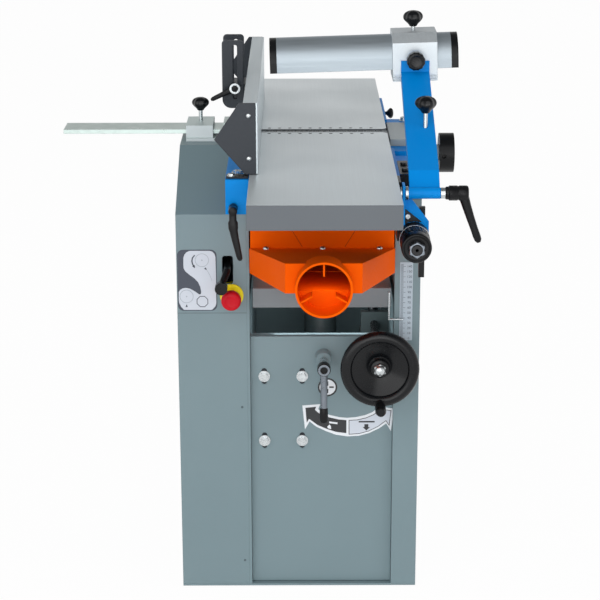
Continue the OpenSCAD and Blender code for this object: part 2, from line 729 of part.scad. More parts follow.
// Grooved pulleys of the belt drive
groove_n = 5;
groove_deep = 2;
module pulley(r, hub) translate([belt_x, 0, 0]) rotate([0, 90, 0]) difference() {
  union() {
    cylinder(r = r - groove_deep, h = belt_w);
    for (i = [0:groove_n]) translate([0, 0, i * (belt_w - groove_deep) / groove_n])
      cylinder(r = r, h = groove_deep);
  }
  translate([0, 0, -over]) cylinder(r = hub, h = belt_w + 2 * over);
}
module motor_pulley() color(steel) translate([0, motor_y, motor_z]) {
  pulley(motor_pulley_r, motor_shaft_r);
  rod_x([belt_x, 0, 0], motor_shaft_r, motor_x0 - belt_x + motor_cowl);
}

// Feed rollers: toothed on the infeed side of the thicknesser, smooth on the other
roller_teeth = 28;
tooth_deep = 1.5;
module roller_shaft(i) {
  rod_x([chain_x[i] - gap, 0, 0], journal_r, wall_out + housing_right_w - chain_x[i]);
  sprocket(chain_x[i]);
}
module infeed_roller() color(steel) translate([0, roller_y, roller_z]) {
  along_x(-block_len / 2, block_len / 2) polygon([for (i = [0:2 * roller_teeth - 1])
    (roller_d / 2 - (i % 2) * tooth_deep) * [cos(i * 180 / roller_teeth), sin(i * 180 / roller_teeth)]]);
  roller_shaft(1);
}
module outfeed_roller() color(steel) translate([0, -roller_y, roller_z]) {
  rod_x([-block_len / 2, 0, 0], roller_d / 2, block_len);
  roller_shaft(0);
}

// Row of anti-kickback fingers on one rod behind the infeed roller
finger_y = 112;
finger_z_rise = 16;
finger_z = cutter_low + finger_z_rise;
finger_rod_r = 5;
finger_r = 9;
finger_t = 5;
finger_pitch = 12;
finger_n = 2 * floor((wall_in - finger_t) / finger_pitch) + 1;
finger_len = 19;
finger_lean = 8;
module kickback_fingers() color(steel) {
  rod_x([-wall_out + gap, finger_y, finger_z], finger_rod_r, 2 * (wall_out - gap));
  for (i = [0:finger_n - 1]) translate([(i - (finger_n - 1) / 2) * finger_pitch - finger_t / 2, finger_y, finger_z]) {
    rod_x([0, 0, 0], finger_r, finger_t);
    along_x(0, finger_t) polygon([[-finger_r, 0], [-finger_lean, -finger_len], [finger_r / 2, -finger_len + finger_t / 2], [finger_r, 0]]);
  }
}

// Bed with its ribs, guide column and lift nut
bed_plate = 14;
bed_cells = 3;
bed_rim = 12;
nut_r = 18;
nut_low = 42;
column_low = 330;
bed_bore_deep = 23;
module thicknesser_bed() color(cast_grey) difference() {
  union() {
    difference() {
      slab([-bed_w / 2, -bed_l / 2, bed_z - bed_edge], [bed_w / 2, bed_l / 2, bed_z]);
      for (s = [-1, 1], i = [0:bed_cells - 1]) {
        cell = (bed_w - (bed_cells + 1) * bed_rim) / bed_cells;
        x = -bed_w / 2 + bed_rim + i * (cell + bed_rim);
        slab([x, s * bed_l / 4 - bed_l / 4 + 1.5 * bed_rim, bed_z - bed_edge - over],
          [x + cell, s * bed_l / 4 + bed_l / 4 - 1.5 * bed_rim, bed_z - bed_plate]);
      }
    }
    rod_z([0, 0, bed_z - column_low], bed_column_d / 2, column_low - bed_plate);
    rod_z([wheel_x, 0, bed_z - bed_edge - nut_low], nut_r, nut_low + bed_edge - bed_plate);
  }
  rod_z([wheel_x, 0, bed_z - bed_edge - nut_low - over], screw_shaft_r + fit, nut_low + bed_bore_deep + over);
}

// Bent wire that points at the scale
wire_r = 1.5;
pointer_x_drop = 4;
pointer_x = bed_w / 2 - pointer_x_drop;
pointer_y_drop = 6;
pointer_y = -base_y - pointer_y_drop;
pointer_low = 58;
pointer_reach = 28;
module height_pointer() color(steel) {
  rod_y([pointer_x, pointer_y - wire_r, bed_z - bed_plate / 2], wire_r, -bed_l / 2 - pointer_y + wire_r);
  rod_z([pointer_x, pointer_y, bed_z - pointer_low], wire_r, pointer_low - bed_plate / 2 + wire_r);
  rod_x([pointer_x - wire_r, pointer_y, bed_z - pointer_low], wire_r, pointer_reach);
}

// Lift screw with its bevel gear
screw_top_gap = 15;
screw_top = bed_z - bed_down - screw_top_gap;
bevel_gap = 0.6;
module bevel() cylinder(r1 = bevel_r - bevel_gap, r2 = bevel_r - bevel_w - bevel_gap, h = bevel_w);
module lift_screw() color(steel) {
  rod_z([wheel_x, 0, wheel_z - bracket_drop - 2 * bracket_t], screw_shaft_r, screw_top - wheel_z + bracket_drop + 2 * bracket_t);
  translate([wheel_x, 0, wheel_z - bevel_r]) bevel();
  rod_z([wheel_x, 0, wheel_z - bracket_drop + gap], bevel_r - bevel_w, bracket_drop - bevel_r - gap);
}

// Dished handwheel on its shaft, with the bevel pinion at the far end
wheel_y = panel_y - wheel_reach;
rim_r = 9;
face_r = 51;
face_set = 2;
hub_face = 9;
web_t = 5;
web_dish = 20;
wheel_hub_r = 17;
wheel_hub_l = 34;
wheel_nut_r = 9;
wheel_nut_t = 8;
grip_r = 10;
grip_len = 52;
grip_pin_r = 4;
grip_pitch_drop = 1;
grip_pitch = wheel_d / 2 - rim_r - grip_pitch_drop;
module handwheel() color(black) difference() {
  union() {
    translate([wheel_x, wheel_y, wheel_z]) rotate([-90, 0, 0]) {
      rotate_extrude() {
        translate([wheel_d / 2 - rim_r, rim_r]) circle(r = rim_r);
        polygon([[0, hub_face], [wheel_hub_r, hub_face], [wheel_hub_r, web_dish], [face_r, face_set], [wheel_d / 2 - rim_r, face_set],
          [wheel_d / 2 - rim_r, face_set + 2 * web_t], [face_r, face_set + web_t], [wheel_hub_r, web_dish + web_t],
          [wheel_hub_r, wheel_hub_l], [0, wheel_hub_l]]);
      }
      translate([0, 0, hub_face - wheel_nut_t]) cylinder(r = wheel_nut_r, h = wheel_nut_t, $fn = 6);
    }
    rod_y([wheel_x, wheel_y + wheel_hub_l - over, wheel_z], wheel_shaft_r, -wheel_y - wheel_hub_l + over - bevel_r + bevel_w);
    translate([wheel_x, -bevel_r, wheel_z]) rotate([-90, 0, 0]) bevel();
    rod_y([wheel_x, wheel_y - grip_len, wheel_z - grip_pitch], grip_pin_r, grip_len + rim_r);
  }
}
module handwheel_grip() color(black) translate([wheel_x, wheel_y - gap, wheel_z - grip_pitch]) rotate([90, 0, 0])
  difference() {
    rotate_extrude() polygon([[0, 0], [grip_r * 0.7, 0], [grip_r, grip_len * 0.4], [grip_r, grip_len * 0.85],
      [grip_r * 0.75, grip_len], [0, grip_len]]);
    translate([0, 0, -over]) cylinder(r = grip_pin_r + fit, h = grip_len + over - gap);
  }

// Feed lever on its shaft through the front panel
lever_reach = 84;
lever_boss_r = 15;
lever_boss_l = 26;
lever_hub_r = 12;
lever_hub_l = 16;
lever_rod_r = 6;
lever_len = 106;
lever_tip_r = 8;
lever_tip_l = 26;
lever_inner = 60;
crank_len = 32;
module feed_lever() color(steel) {
  translate([lever_x, 0, lever_z]) {
    rod_y([0, panel_y - lever_reach, 0], lever_shaft_r, lever_reach + sheet + lever_inner);
    rod_y([0, panel_y - gap - lever_boss_l, 0], lever_boss_r, lever_boss_l);
    rod_y([0, panel_y - lever_reach, 0], lever_hub_r, lever_hub_l);
    rod_z([0, panel_y - lever_reach + lever_hub_l / 2, -lever_len + lever_tip_l / 2], lever_rod_r, lever_len - lever_tip_l / 2);
    rod_z([0, panel_y - lever_reach + lever_hub_l / 2, -lever_len], lever_tip_r, lever_tip_l);
    slab([-lever_rod_r, panel_y + sheet + lever_inner - lever_rod_r, -crank_len], [lever_rod_r, panel_y + sheet + lever_inner, 0]);
  }
}

// Selector lever through the slot of the drive cover, ending in a round knob
selector_rod_r = 6.5;
selector_out = 88;
selector_knob_x = -10;
selector_knob_out = 118;
selector_knob_drop = 24;
selector_knob_r = 11.5;
selector_knob_t = 16;
module selector_lever() color(black) translate([selector_x, selector_y, selector_z]) difference() {
  union() {
    rod_x([-selector_hub_w / 2, 0, 0], selector_hub_r, selector_hub_w);
    rod_y([0, -selector_out, 0], selector_rod_r, selector_out);
    hull() {
      translate([0, -selector_out, 0]) sphere(r = selector_rod_r, $fn = 24);
      translate([selector_knob_x, -selector_knob_out + selector_knob_t / 2, -selector_knob_drop]) sphere(r = selector_rod_r, $fn = 24);
    }
    rod_y([selector_knob_x, -selector_knob_out - selector_knob_t / 2, -selector_knob_drop], selector_knob_r, selector_knob_t);
  }
  rod_x([-selector_hub_w, 0, 0], selector_pin_r + fit, 2 * selector_hub_w);
}

// Red stop button on its stem
estop_r = 18.5;
estop_out = 45;
estop_cap = 20;
estop_round = 5;
estop_in = 12;
module estop_button() color("#C8203A") translate([estop_x, -base_y, estop_z]) rotate([90, 0, 0]) rotate_extrude()
  polygon([[0, -estop_in], [estop_stem_r - over / 2, -estop_in], [estop_stem_r - over / 2, estop_out - estop_cap],
    [estop_r - estop_round / 2, estop_out - estop_cap], [estop_r, estop_out - estop_cap + estop_round / 2],
    [estop_r, estop_out - estop_round], [estop_r - estop_round, estop_out], [0, estop_out]]);

// Rail along the right edge of the infeed table with its black clamp block
rail_y0 = -350;
rail_y1 = -98;
rail_lug_y0 = -150;
rail_lug_y1 = -105;
rail_lug_w = 30;
rail_lug_h = 16;
rail_out = 8;
rail_h = 30;
clamp_y = -265;
clamp_l = 110;
clamp_w = 22;
module infeed_side_rail() color(blue_paint) {
  slab([table_w / 2 + rail_out, rail_lug_y0, table_h - table_edge], [table_w / 2 + rail_out + rail_lug_w, rail_lug_y1, table_h - table_edge + rail_lug_h]);
  slab([table_w / 2, rail_y0, table_h - table_edge], [table_w / 2 + rail_out, rail_y1, table_h - table_edge + rail_h]);
  slab([table_w / 2 + rail_out, clamp_y - clamp_l / 2, table_h - table_edge], [table_w / 2 + rail_out + clamp_w, clamp_y + clamp_l / 2, table_h - table_edge + rail_h]);
}

// Blue bracket along the left edge of the infeed table
left_y0 = -400;
left_over = 55;
left_y1 = -base_y + left_over;
left_bolt_shares = [0.1, 0.3];
left_w = 42;
left_h = 62;
left_t = 6;
left_top = 4;
module left_table_bracket() color(blue_paint) difference() {
  union() {
    slab([-table_w / 2 - left_w, left_y0, table_h - left_top - left_t], [-table_w / 2, left_y1, table_h - left_top]);
    slab([-table_w / 2 - left_t, left_y0, table_h - left_top - left_h], [-table_w / 2, left_y1, table_h - left_top]);
    slab([-table_w / 2 - left_w, left_y0, table_h - left_top - left_h], [-table_w / 2, left_y0 + left_t, table_h - left_top]);
    for (y = left_bolt_shares) rod_z([-table_w / 2 - left_w / 2, left_y0 + y * (left_y1 - left_y0), table_h - left_top], bolt_head_r, left_top - gap);
  }
  rod_y([lock_x, left_y0 - over, lock_z], lock_stud_r + fit, left_t + 2 * over);
}

// Clamp lever with a round hub along Z and a tapered arm along X that may lean away
lever_root_share = 0.8;
lever_tip_share = 0.38;
module clamp_lever(hub_r, hub_l, arm_l, arm_w, lean = 0) {
  cylinder(r = hub_r, h = hub_l);
  translate([0, 0, hub_l - arm_w]) rotate([0, -lean, 0]) {
    linear_extrude(arm_w) polygon([[0, -hub_r * lever_root_share], [arm_l, -arm_w * lever_tip_share],
      [arm_l, arm_w * lever_tip_share], [0, hub_r * lever_root_share]]);
    translate([arm_l, 0, 0]) cylinder(r = arm_w * lever_tip_share, h = arm_w);
  }
}

lock_in = 28;
lock_x = -table_w / 2 - lock_in;
lock_z_drop = 52;
lock_z = table_h - lock_z_drop;
lock_stud_r = 5;
lock_hub_r = 10;
lock_hub_l = 38;
lock_arm_l = 86;
lock_arm_w = 11;
lock_lean = 8;
module table_lock_lever() color(black) translate([lock_x, left_y0, lock_z]) rotate([90, 90 - lock_lean, 0]) {
  translate([0, 0, gap]) clamp_lever(lock_hub_r, lock_hub_l, lock_arm_l, lock_arm_w);
  translate([0, 0, -2 * left_t]) cylinder(r = lock_stud_r, h = 2 * left_t + gap);
}

// Depth of cut wheel on the right
depth_wheel_r = 38;
depth_wheel_w = 28;
depth_hole_r = 4;
module depth_wheel() color(black) difference() {
  union() {
    rod_x([depth_boss_x + gap, depth_y, depth_z], depth_wheel_r, depth_wheel_w);
    rod_x([depth_boss_x - depth_seat + gap, depth_y, depth_z], depth_shaft_r, depth_seat);
  }
  rod_y([depth_boss_x + depth_wheel_w * 0.3, depth_y - depth_wheel_r - over, depth_z], depth_hole_r, depth_hole_r * 2);
}

// Mount of the swing pivot on the infeed table, with its shaft, lock nut and hanging bar
swing_off = 29;
swing_x = table_w / 2 + swing_off;
swing_z_drop = 101;
swing_z = table_h - swing_z_drop;
mount_y0 = -412;
mount_y1 = -360;
mount_t = 6;
mount_h = 112;
mount_block = 27;
swing_shaft_r = 10;
drum_r = 26.5;
drum_y0 = -505;
drum_y1 = -421;
drum_nut_r = 14;
drum_nut_t = 9;
bar_side = 10;
bar_low = 78;
bar_up = 50;
module pivot_mount() color(black) {
  slab([table_w / 2, mount_y0, table_h - mount_h], [table_w / 2 + mount_t, mount_y1, table_h - mount_t]);
  slab([table_w / 2 + mount_t, mount_y0, swing_z - swing_shaft_r], [swing_x + bar_side, mount_y0 + mount_block, swing_z + swing_shaft_r]);
  rod_y([swing_x, drum_y0 - drum_nut_t - 3 * gap, swing_z], swing_shaft_r, mount_y0 - drum_y0 + drum_nut_t + 3 * gap);
  translate([swing_x, drum_y0 - drum_nut_t - gap, swing_z]) rotate([-90, 0, 0]) cylinder(r = drum_nut_r, h = drum_nut_t, $fn = 6);
  slab([swing_x + bar_side, mount_y0 + gap, swing_z - bar_low], [swing_x + 2 * bar_side, mount_y0 + gap + bar_side, swing_z + bar_up]);
}

// Blue bracket that swings on the pivot and carries the arm pin
pin_y = -430;
pin_z_drop = 21;
pin_z = table_h - pin_z_drop;
pin_r = 6;
cheek_x_rise = 7;
cheek_x = table_w / 2 + cheek_x_rise;
cheek_t = 4.5;
cheek_half = 16;
gusset_t = 6;
gusset_w = 48;
gusset_low = 18;
tube_r = 10;
tube_x0 = cheek_x + cheek_t + gap;
tube_x1_rise = 61;
tube_x1 = tube_x0 + tube_x1_rise;
arm_x = tube_x1 - arm_w;
washer_step = 1;
washer_x = 9;
module swing_bracket() color(blue_paint) difference() {
  union() {
    slab([cheek_x, pin_y - cheek_half, swing_z + drum_r + gap], [cheek_x + cheek_t, drum_y1 + gusset_t, pin_z + cheek_half]);
    along_y(drum_y1, drum_y1 + gusset_t) polygon([[cheek_x, swing_z - gusset_low], [cheek_x + gusset_w, swing_z - gusset_low],
      [cheek_x + gusset_w, swing_z + drum_r], [cheek_x + gusset_w / 3, pin_z - tube_r - 2 * gap], [cheek_x, pin_z - tube_r - 2 * gap]]);
    rod_x([cheek_x - washer_x / 3, pin_y, pin_z], tube_r, washer_x / 3);
    rod_x([cheek_x, pin_y, pin_z], pin_r, tube_x1 + washer_x - cheek_x);
    rod_x([tube_x1 + gap, pin_y, pin_z], tube_r - washer_step, washer_x - gap);
  }
  rod_y([swing_x, drum_y1 - over, swing_z], swing_shaft_r + fit, gusset_t + 2 * over);
}
drum_groove = 2;
module swing_drum() color(black) translate([swing_x, drum_y0, swing_z]) rotate([-90, 0, 0]) difference() {
  rotate_extrude() polygon([[swing_shaft_r + fit, 0], [drum_r - drum_groove, 0], [drum_r, drum_groove],
    [drum_r, drum_r], [drum_r - drum_groove, drum_r], [drum_r - drum_groove, drum_r + drum_groove], [drum_r, drum_r + drum_groove],
    [drum_r, drum_y1 - drum_y0], [swing_shaft_r + fit, drum_y1 - drum_y0]]);
}

// Six-lobed clamping knob with its stud, standing on Z
star_core_share = 0.75;
star_lobe_share = 0.3;
star_neck_share = 0.5;
stud_r = 4;
module star_knob(r, h, stud, deep) {
  translate([0, 0, -deep]) cylinder(r = stud_r, h = stud + deep);
  translate([0, 0, stud]) cylinder(r1 = r * star_neck_share, r2 = r * star_core_share, h = h * star_neck_share);
  translate([0, 0, stud + h * star_neck_share]) {
    cylinder(r = r * star_core_share, h = h * star_neck_share);
    for (i = [0:5]) rotate([0, 0, i * 60]) translate([r * (1 - star_lobe_share), 0, 0])
      cylinder(r = r * star_lobe_share, h = h * star_neck_share);
  }
}

// Guard profile through its carriage, both on the guard's own slope
guard_y = -60;
carriage_off = 47;
carriage_x = table_w / 2 + carriage_off;
carriage_w = 84;
carriage_t = 6;
carriage_foot = 16;
carriage_chamfer = 17;
carriage_groove = 3;
guard_z = table_h + guard_lift;
cap_w = 13;
guard_wall = 3;
guard_left = -273;
carriage_half = guard_w / 2 + gap + carriage_t;
carriage_top = guard_h + gap + carriage_t;
pivot_z = 20;
pivot_boss_r = 14;
pivot_r = 6;
module on_slope() translate([carriage_x, guard_y, guard_z]) rotate([0, -guard_slope, 0]) children();
module guard_outline(grow) intersection() {
  union() {
    translate([0, guard_h - guard_w / 2]) circle(r = guard_w / 2 + grow);
    translate([-guard_w / 2 - grow, -grow]) square([guard_w + 2 * grow, guard_h - guard_w / 2 + grow]);
  }
  translate([-guard_w, -grow]) square([2 * guard_w, 2 * guard_w]);
}
module guard_profile() color("#D3D7DA") on_slope() difference() {
  along_x(guard_left + cap_w, guard_left + guard_len - cap_w) guard_outline(0);
  along_x(guard_left, guard_left + guard_len) guard_outline(-guard_wall);
}
module guard_end_caps() color(black) on_slope()
  for (x = [guard_left, guard_left + guard_len - cap_w]) along_x(x, x + cap_w) guard_outline(0);
module guard_carriage() color(steel) on_slope() {
  difference() {
    along_x(-carriage_w / 2, carriage_w / 2) polygon([[-carriage_half, -carriage_t - carriage_foot], [carriage_half, -carriage_t - carriage_foot],
      [carriage_half, carriage_top - carriage_chamfer], [carriage_half - carriage_chamfer, carriage_top],
      [-carriage_half + carriage_chamfer, carriage_top], [-carriage_half, carriage_top - carriage_chamfer]]);
    along_x(-carriage_w, carriage_w) guard_outline(gap);
    for (share = [0.4, 0.75]) slab([-carriage_w, -carriage_half - over, -carriage_t - share * carriage_foot - carriage_groove / 2],
      [carriage_w, -carriage_half + carriage_groove, -carriage_t - share * carriage_foot + carriage_groove / 2]);
    rod_z([0, 0, guard_h], stud_r + fit, carriage_top);
  }
  rod_y([0, -carriage_half - tab_gap - front_knob_l + arm_t, pivot_z], pivot_r, tab_gap + front_knob_l - arm_t);
}
top_knob_r = 19;
knob_h = 22;
knob_stud = 12;
module guard_clamp_knob() color(black) on_slope() translate([0, 0, carriage_top]) star_knob(top_knob_r, knob_h, knob_stud, carriage_t - gap);

// Ribbed cylinder knob on the carriage pivot, in front of the arm
front_knob_r = 17.5;
front_knob_l = 28;
front_knob_ribs = 16;
tab_gap = 0.5;
tab_y = guard_y - carriage_half - tab_gap;
module carriage_knob() color(black) on_slope() translate([0, -carriage_half - tab_gap - arm_t - gap, pivot_z]) rotate([90, 0, 0])
  difference() {
    cylinder(r = front_knob_r, h = front_knob_l);
    translate([0, 0, -over]) cylinder(r = pivot_r + fit, h = front_knob_l + over - arm_t);
    for (i = [0:front_knob_ribs - 1]) rotate([0, 0, i * 360 / front_knob_ribs]) translate([front_knob_r + gap, 0, arm_t])
      cylinder(r = 2 * gap, h = front_knob_l);
  }

// Folded guard arm: pivot tube, sloped plate with side flanges, upright tab for the carriage pivot
arm_bend_y = -396;
arm_bend_z_rise = 12;
arm_bend_z = table_h + arm_bend_z_rise;
arm_end_z_rise = 136;
arm_end_z = table_h + arm_end_z_rise;
arm_t = 4;
arm_flange = 16;
arm_lean_share = 0.4;
tab_low = 18;
tab_up = 20;
arm_line = [[pin_y, pin_z], [arm_bend_y, arm_bend_z], [tab_y - arm_t, arm_end_z]];
function arm_band(t) = [arm_line[0] + [t, 0], arm_line[1] + [t * arm_lean_share, -t], arm_line[2] + [t * arm_lean_share, -t],
  arm_line[2], arm_line[1], arm_line[0]];
stop_knob_off = 56;
stop_knob_x = table_w / 2 + stop_knob_off;
stop_knob_y = -276;
stop_knob_r = 20;
stop_knob_z = arm_bend_z + (stop_knob_y - arm_bend_y) * (arm_end_z - arm_bend_z) / (tab_y - arm_t - arm_bend_y);
module guard_arm() color(blue_paint) difference() {
  union() {
    along_x(arm_x, arm_x + arm_w) polygon(arm_band(arm_t));
    for (x = [arm_x, arm_x + arm_w - arm_t]) along_x(x, x + arm_t) polygon(arm_band(arm_flange));
    slab([arm_x, tab_y - arm_t, arm_end_z - tab_low], [arm_x + arm_w, tab_y, arm_end_z + tab_up]);
    on_slope() rod_y([0, -carriage_half - tab_gap - arm_t, pivot_z], pivot_boss_r, arm_t);
    rod_x([tube_x0, pin_y, pin_z], tube_r, tube_x1 - tube_x0);
  }
  rod_x([tube_x0 - over, pin_y, pin_z], pin_r + fit, arm_x + arm_w);
  slab([arm_x - over, tab_y, table_h], [arm_x + 2 * arm_w, 0, arm_end_z + arm_w]);
  on_slope() rod_y([0, -2 * carriage_half, pivot_z], pivot_r + fit, carriage_half);
  rod_z([stop_knob_x, stop_knob_y, table_h], stud_r + fit, arm_end_z - table_h);
}
module arm_stop_knob() color(black) translate([stop_knob_x, stop_knob_y, stop_knob_z + arm_t]) star_knob(stop_knob_r, knob_h, knob_stud, 4 * arm_t);

// Long clamp lever on the arm pin
clamp_hub_r = 11;
clamp_hub_l = 38;
clamp_arm_l = 88;
clamp_arm_w = 16;
clamp_lean = 14;
module arm_clamp_lever() color(black) translate([tube_x1 + washer_x + gap, pin_y, pin_z]) rotate([0, 90, 0])
  clamp_lever(clamp_hub_r, clamp_hub_l, clamp_arm_l, clamp_arm_w, clamp_lean);

// Fence carriage on the guide bar, with the knuckle and pin of the fence hinge
fence_back = -fence_x - fence_t;
bar_x1_drop = 8;
bar_x1 = fence_back - bar_x1_drop;
hinge_x_drop = 6;
hinge_x = fence_back - hinge_x_drop;
hinge_z_rise = 8;
hinge_z = bar_z + bar_t + hinge_z_rise;
hinge_r = 4;
knuckle_r = 5.5;
lug_r = 7;
lug_w = 14;
lug_y = 52;
carriage_block = 40;
knob_y = 12;
module fence_carriage() color(steel) {
  slab([bar_x1 - bar_len, -bar_w / 2, bar_z], [bar_x1, bar_w / 2, bar_z + bar_t]);
  slab([bar_x1 - carriage_block, -bar_w / 2, bar_z + bar_t], [hinge_x, bar_w / 2, hinge_z + hinge_r]);
  rod_y([hinge_x, -lug_y + lug_w / 2 + gap, hinge_z], knuckle_r, 2 * lug_y - lug_w - 2 * gap);
  rod_y([hinge_x, -lug_y - lug_w / 2 - gap, hinge_z], hinge_r, 2 * lug_y + lug_w + 2 * gap);
}
star_r = 17;
star_stud = 20;
module fence_star_knob() color(black) translate([block_x + block_w / 2, knob_y, cover_top + block_h])
  star_knob(star_r, knob_h, star_stud, cover_top + block_h - bar_z - bar_t - gap);

// Hollow fence profile with its hinge lugs
fence_low_rise = 1;
fence_low = table_h + fence_low_rise;
fence_wall = 3;
fence_cells = 3;
fence_mid = -10;
module fence() color(cast_grey) {
  along_y(fence_mid - fence_len / 2, fence_mid + fence_len / 2) difference() {
    translate([fence_back, fence_low]) square([fence_t, fence_h]);
    for (i = [0:fence_cells - 1]) translate([fence_back + fence_wall, fence_low + fence_wall + i * (fence_h - fence_wall) / fence_cells])
      square([fence_t - 2 * fence_wall, (fence_h - fence_wall) / fence_cells - fence_wall]);
  }
  for (s = [-1, 1]) difference() {
    union() {
      rod_y([hinge_x, s * lug_y - lug_w / 2, hinge_z], lug_r, lug_w);
      slab([hinge_x, s * lug_y - lug_w / 2, hinge_z - lug_r], [fence_back, s * lug_y + lug_w / 2, hinge_z + lug_r]);
    }
    rod_y([hinge_x, s * lug_y - lug_w, hinge_z], hinge_r + fit, 2 * lug_w);
  }
}

// Dark pentagon plates on both ends of the fence
plate_t = 4;
plate_out = 51;
plate_lip = 7;
plate_mid_share = 0.49;
module fence_end_plates() color(dark_plate) for (y = [fence_mid - fence_len / 2 - plate_t, fence_mid + fence_len / 2])
  along_y(y, y + plate_t) polygon([[fence_back + fence_t - fence_wall, fence_low], [fence_back + fence_t - fence_wall, fence_low + fence_h],
    [fence_back - plate_lip, fence_low + fence_h], [fence_back - plate_out, fence_low + plate_mid_share * fence_h],
    [fence_back + fence_wall, fence_low]]);

// Slotted tilt links on their block behind the fence, with the stud of the tilt handle
link_w = 41;
link_gap = 9;
link_t = 5;
link_low = 47;
link_h = 132;
link_corner = 16;
link_slot_w = 6;
link_slot_h = 96;
link_block_y0 = -10;
link_block_y1 = 58;
link_block_w = 36;
link_block_z = 64;
link_block_h = 30;
link_x = fence_back - link_gap - link_w;
handle_z_rise = 89;
handle_z = fence_low + handle_z_rise;
handle_x_drop = 16;
handle_x = link_x + link_w - handle_x_drop;
handle_stud_r = 5;
handle_hub_r = 9;
handle_hub_l = 20;
handle_arm_l = 50;
handle_arm_w = 10;
handle_angle = 206;
module fence_links() color(dark_plate) {
  for (y = [link_block_y0 - link_t, link_block_y1]) along_y(y, y + link_t) difference() {
    translate([link_x, fence_low + link_low]) polygon([[link_corner, 0], [link_w, 0], [link_w, link_h], [0, link_h], [0, link_corner]]);
    translate([handle_x, fence_low + link_low + link_h / 2]) slot_outline(link_slot_w, link_slot_h);
  }
  slab([fence_back - link_block_w, link_block_y0, fence_low + link_block_z], [fence_back, link_block_y1, fence_low + link_block_z + link_block_h]);
}
module tilt_handle() color(black) translate([handle_x, link_block_y0 - link_t - gap, handle_z]) rotate([90, 0, 0]) {
  rotate([0, 0, handle_angle]) clamp_lever(handle_hub_r, handle_hub_l, handle_arm_l, handle_arm_w);
  translate([0, 0, -link_t]) cylinder(r = link_slot_w / 2 - gap, h = link_t);
}

base_frame();
left_side_plate();
drive_cover();
right_column();
front_panel();
rear_panel();
bearing_housings();
cutter_bearings();
motor();
motor_bolts();
drive_belt();
feed_gearbox();
feed_chains();
table_supports();
outfeed_table();
outfeed_bracket();
dust_hood();
lift_casting();
height_scale();
estop_ring();
fence_clamp_block();
cable_gland();
cutterblock();
planer_knives();
motor_pulley();
infeed_roller();
outfeed_roller();
drive_sprocket();
kickback_fingers();
thicknesser_bed();
height_pointer();
lift_screw();
handwheel();
handwheel_grip();
feed_lever();
selector_lever();
estop_button();
infeed_table();
infeed_side_rail();
left_table_bracket();
table_lock_lever();
depth_wheel();
pivot_mount();
swing_bracket();
swing_drum();
guard_arm();
arm_clamp_lever();
arm_stop_knob();
guard_carriage();
carriage_knob();
guard_profile();
guard_end_caps();
guard_clamp_knob();
fence_carriage();
fence_star_knob();
fence();
fence_end_plates();
fence_links();
tilt_handle();
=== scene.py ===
import math
import bmesh
import bpy
from mathutils import Matrix, Vector


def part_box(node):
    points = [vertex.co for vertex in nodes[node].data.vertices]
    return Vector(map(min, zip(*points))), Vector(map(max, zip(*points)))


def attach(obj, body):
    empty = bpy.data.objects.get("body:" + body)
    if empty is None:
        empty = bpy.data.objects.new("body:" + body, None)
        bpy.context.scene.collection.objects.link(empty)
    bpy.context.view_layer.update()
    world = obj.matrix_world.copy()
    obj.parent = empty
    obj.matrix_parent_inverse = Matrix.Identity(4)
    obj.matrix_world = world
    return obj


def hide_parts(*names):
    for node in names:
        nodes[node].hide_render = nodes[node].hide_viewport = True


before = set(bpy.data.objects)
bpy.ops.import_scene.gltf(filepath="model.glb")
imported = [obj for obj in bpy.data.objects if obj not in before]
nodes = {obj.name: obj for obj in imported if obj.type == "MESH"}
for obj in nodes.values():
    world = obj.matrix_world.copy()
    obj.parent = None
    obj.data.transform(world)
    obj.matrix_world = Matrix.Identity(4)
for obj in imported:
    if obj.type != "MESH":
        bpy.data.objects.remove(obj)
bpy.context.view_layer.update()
print("frame loaded,", len(nodes), "nodes")

scene = bpy.context.scene
scene.view_settings.view_transform = "Standard"

# camera at the photograph's place, fitted to the table, base and cover edges: metres, degrees, lens in mm
cameraView = {"place": (-0.0462, -3.5897, 1.6001), "yaw": 0.091, "pitch": 16.982, "roll": -0.123,
              "lens": 112.04, "sensor": 36, "clip": (0.05, 60)}


def makeCamera(view):
    yaw, pitch, roll = (math.radians(view[k]) for k in ("yaw", "pitch", "roll"))
    forward = Vector((math.sin(yaw) * math.cos(pitch), math.cos(yaw) * math.cos(pitch), -math.sin(pitch)))
    right = Vector((math.cos(yaw), -math.sin(yaw), 0))
    up = right.cross(forward)
    sideways = math.cos(roll) * right + math.sin(roll) * up
    upward = -math.sin(roll) * right + math.cos(roll) * up
    data = bpy.data.cameras.new("studioCamera")
    data.lens, data.sensor_width, data.sensor_fit = view["lens"], view["sensor"], "HORIZONTAL"
    data.clip_start, data.clip_end = view["clip"]
    camera = bpy.data.objects.new("studioCamera", data)
    scene.collection.objects.link(camera)
    turn = Matrix((sideways, upward, -forward)).transposed()
    camera.matrix_world = Matrix.Translation(view["place"]) @ turn.to_4x4()
    scene.camera = camera


makeCamera(cameraView)

mm = 0.001  # the sizes in the dictionaries are millimetres


def linear(hexColour):  # sRGB hex to the linear colour that a shader takes
    parts = [int(hexColour[i:i + 2], 16) / 255 for i in (1, 3, 5)]
    return [p / 12.92 if p <= 0.04045 else ((p + 0.055) / 1.055) ** 2.4 for p in parts] + [1]


def addNode(tree, kind, settings=(), values=(), links=()):
    node = tree.nodes.new(kind)
    for name, value in dict(settings).items():
        setattr(node, name, value)
    for name, value in dict(values).items():
        node.inputs[name].default_value = value
    for name, source in dict(links).items():
        tree.links.new(source, node.inputs[name])
    return node


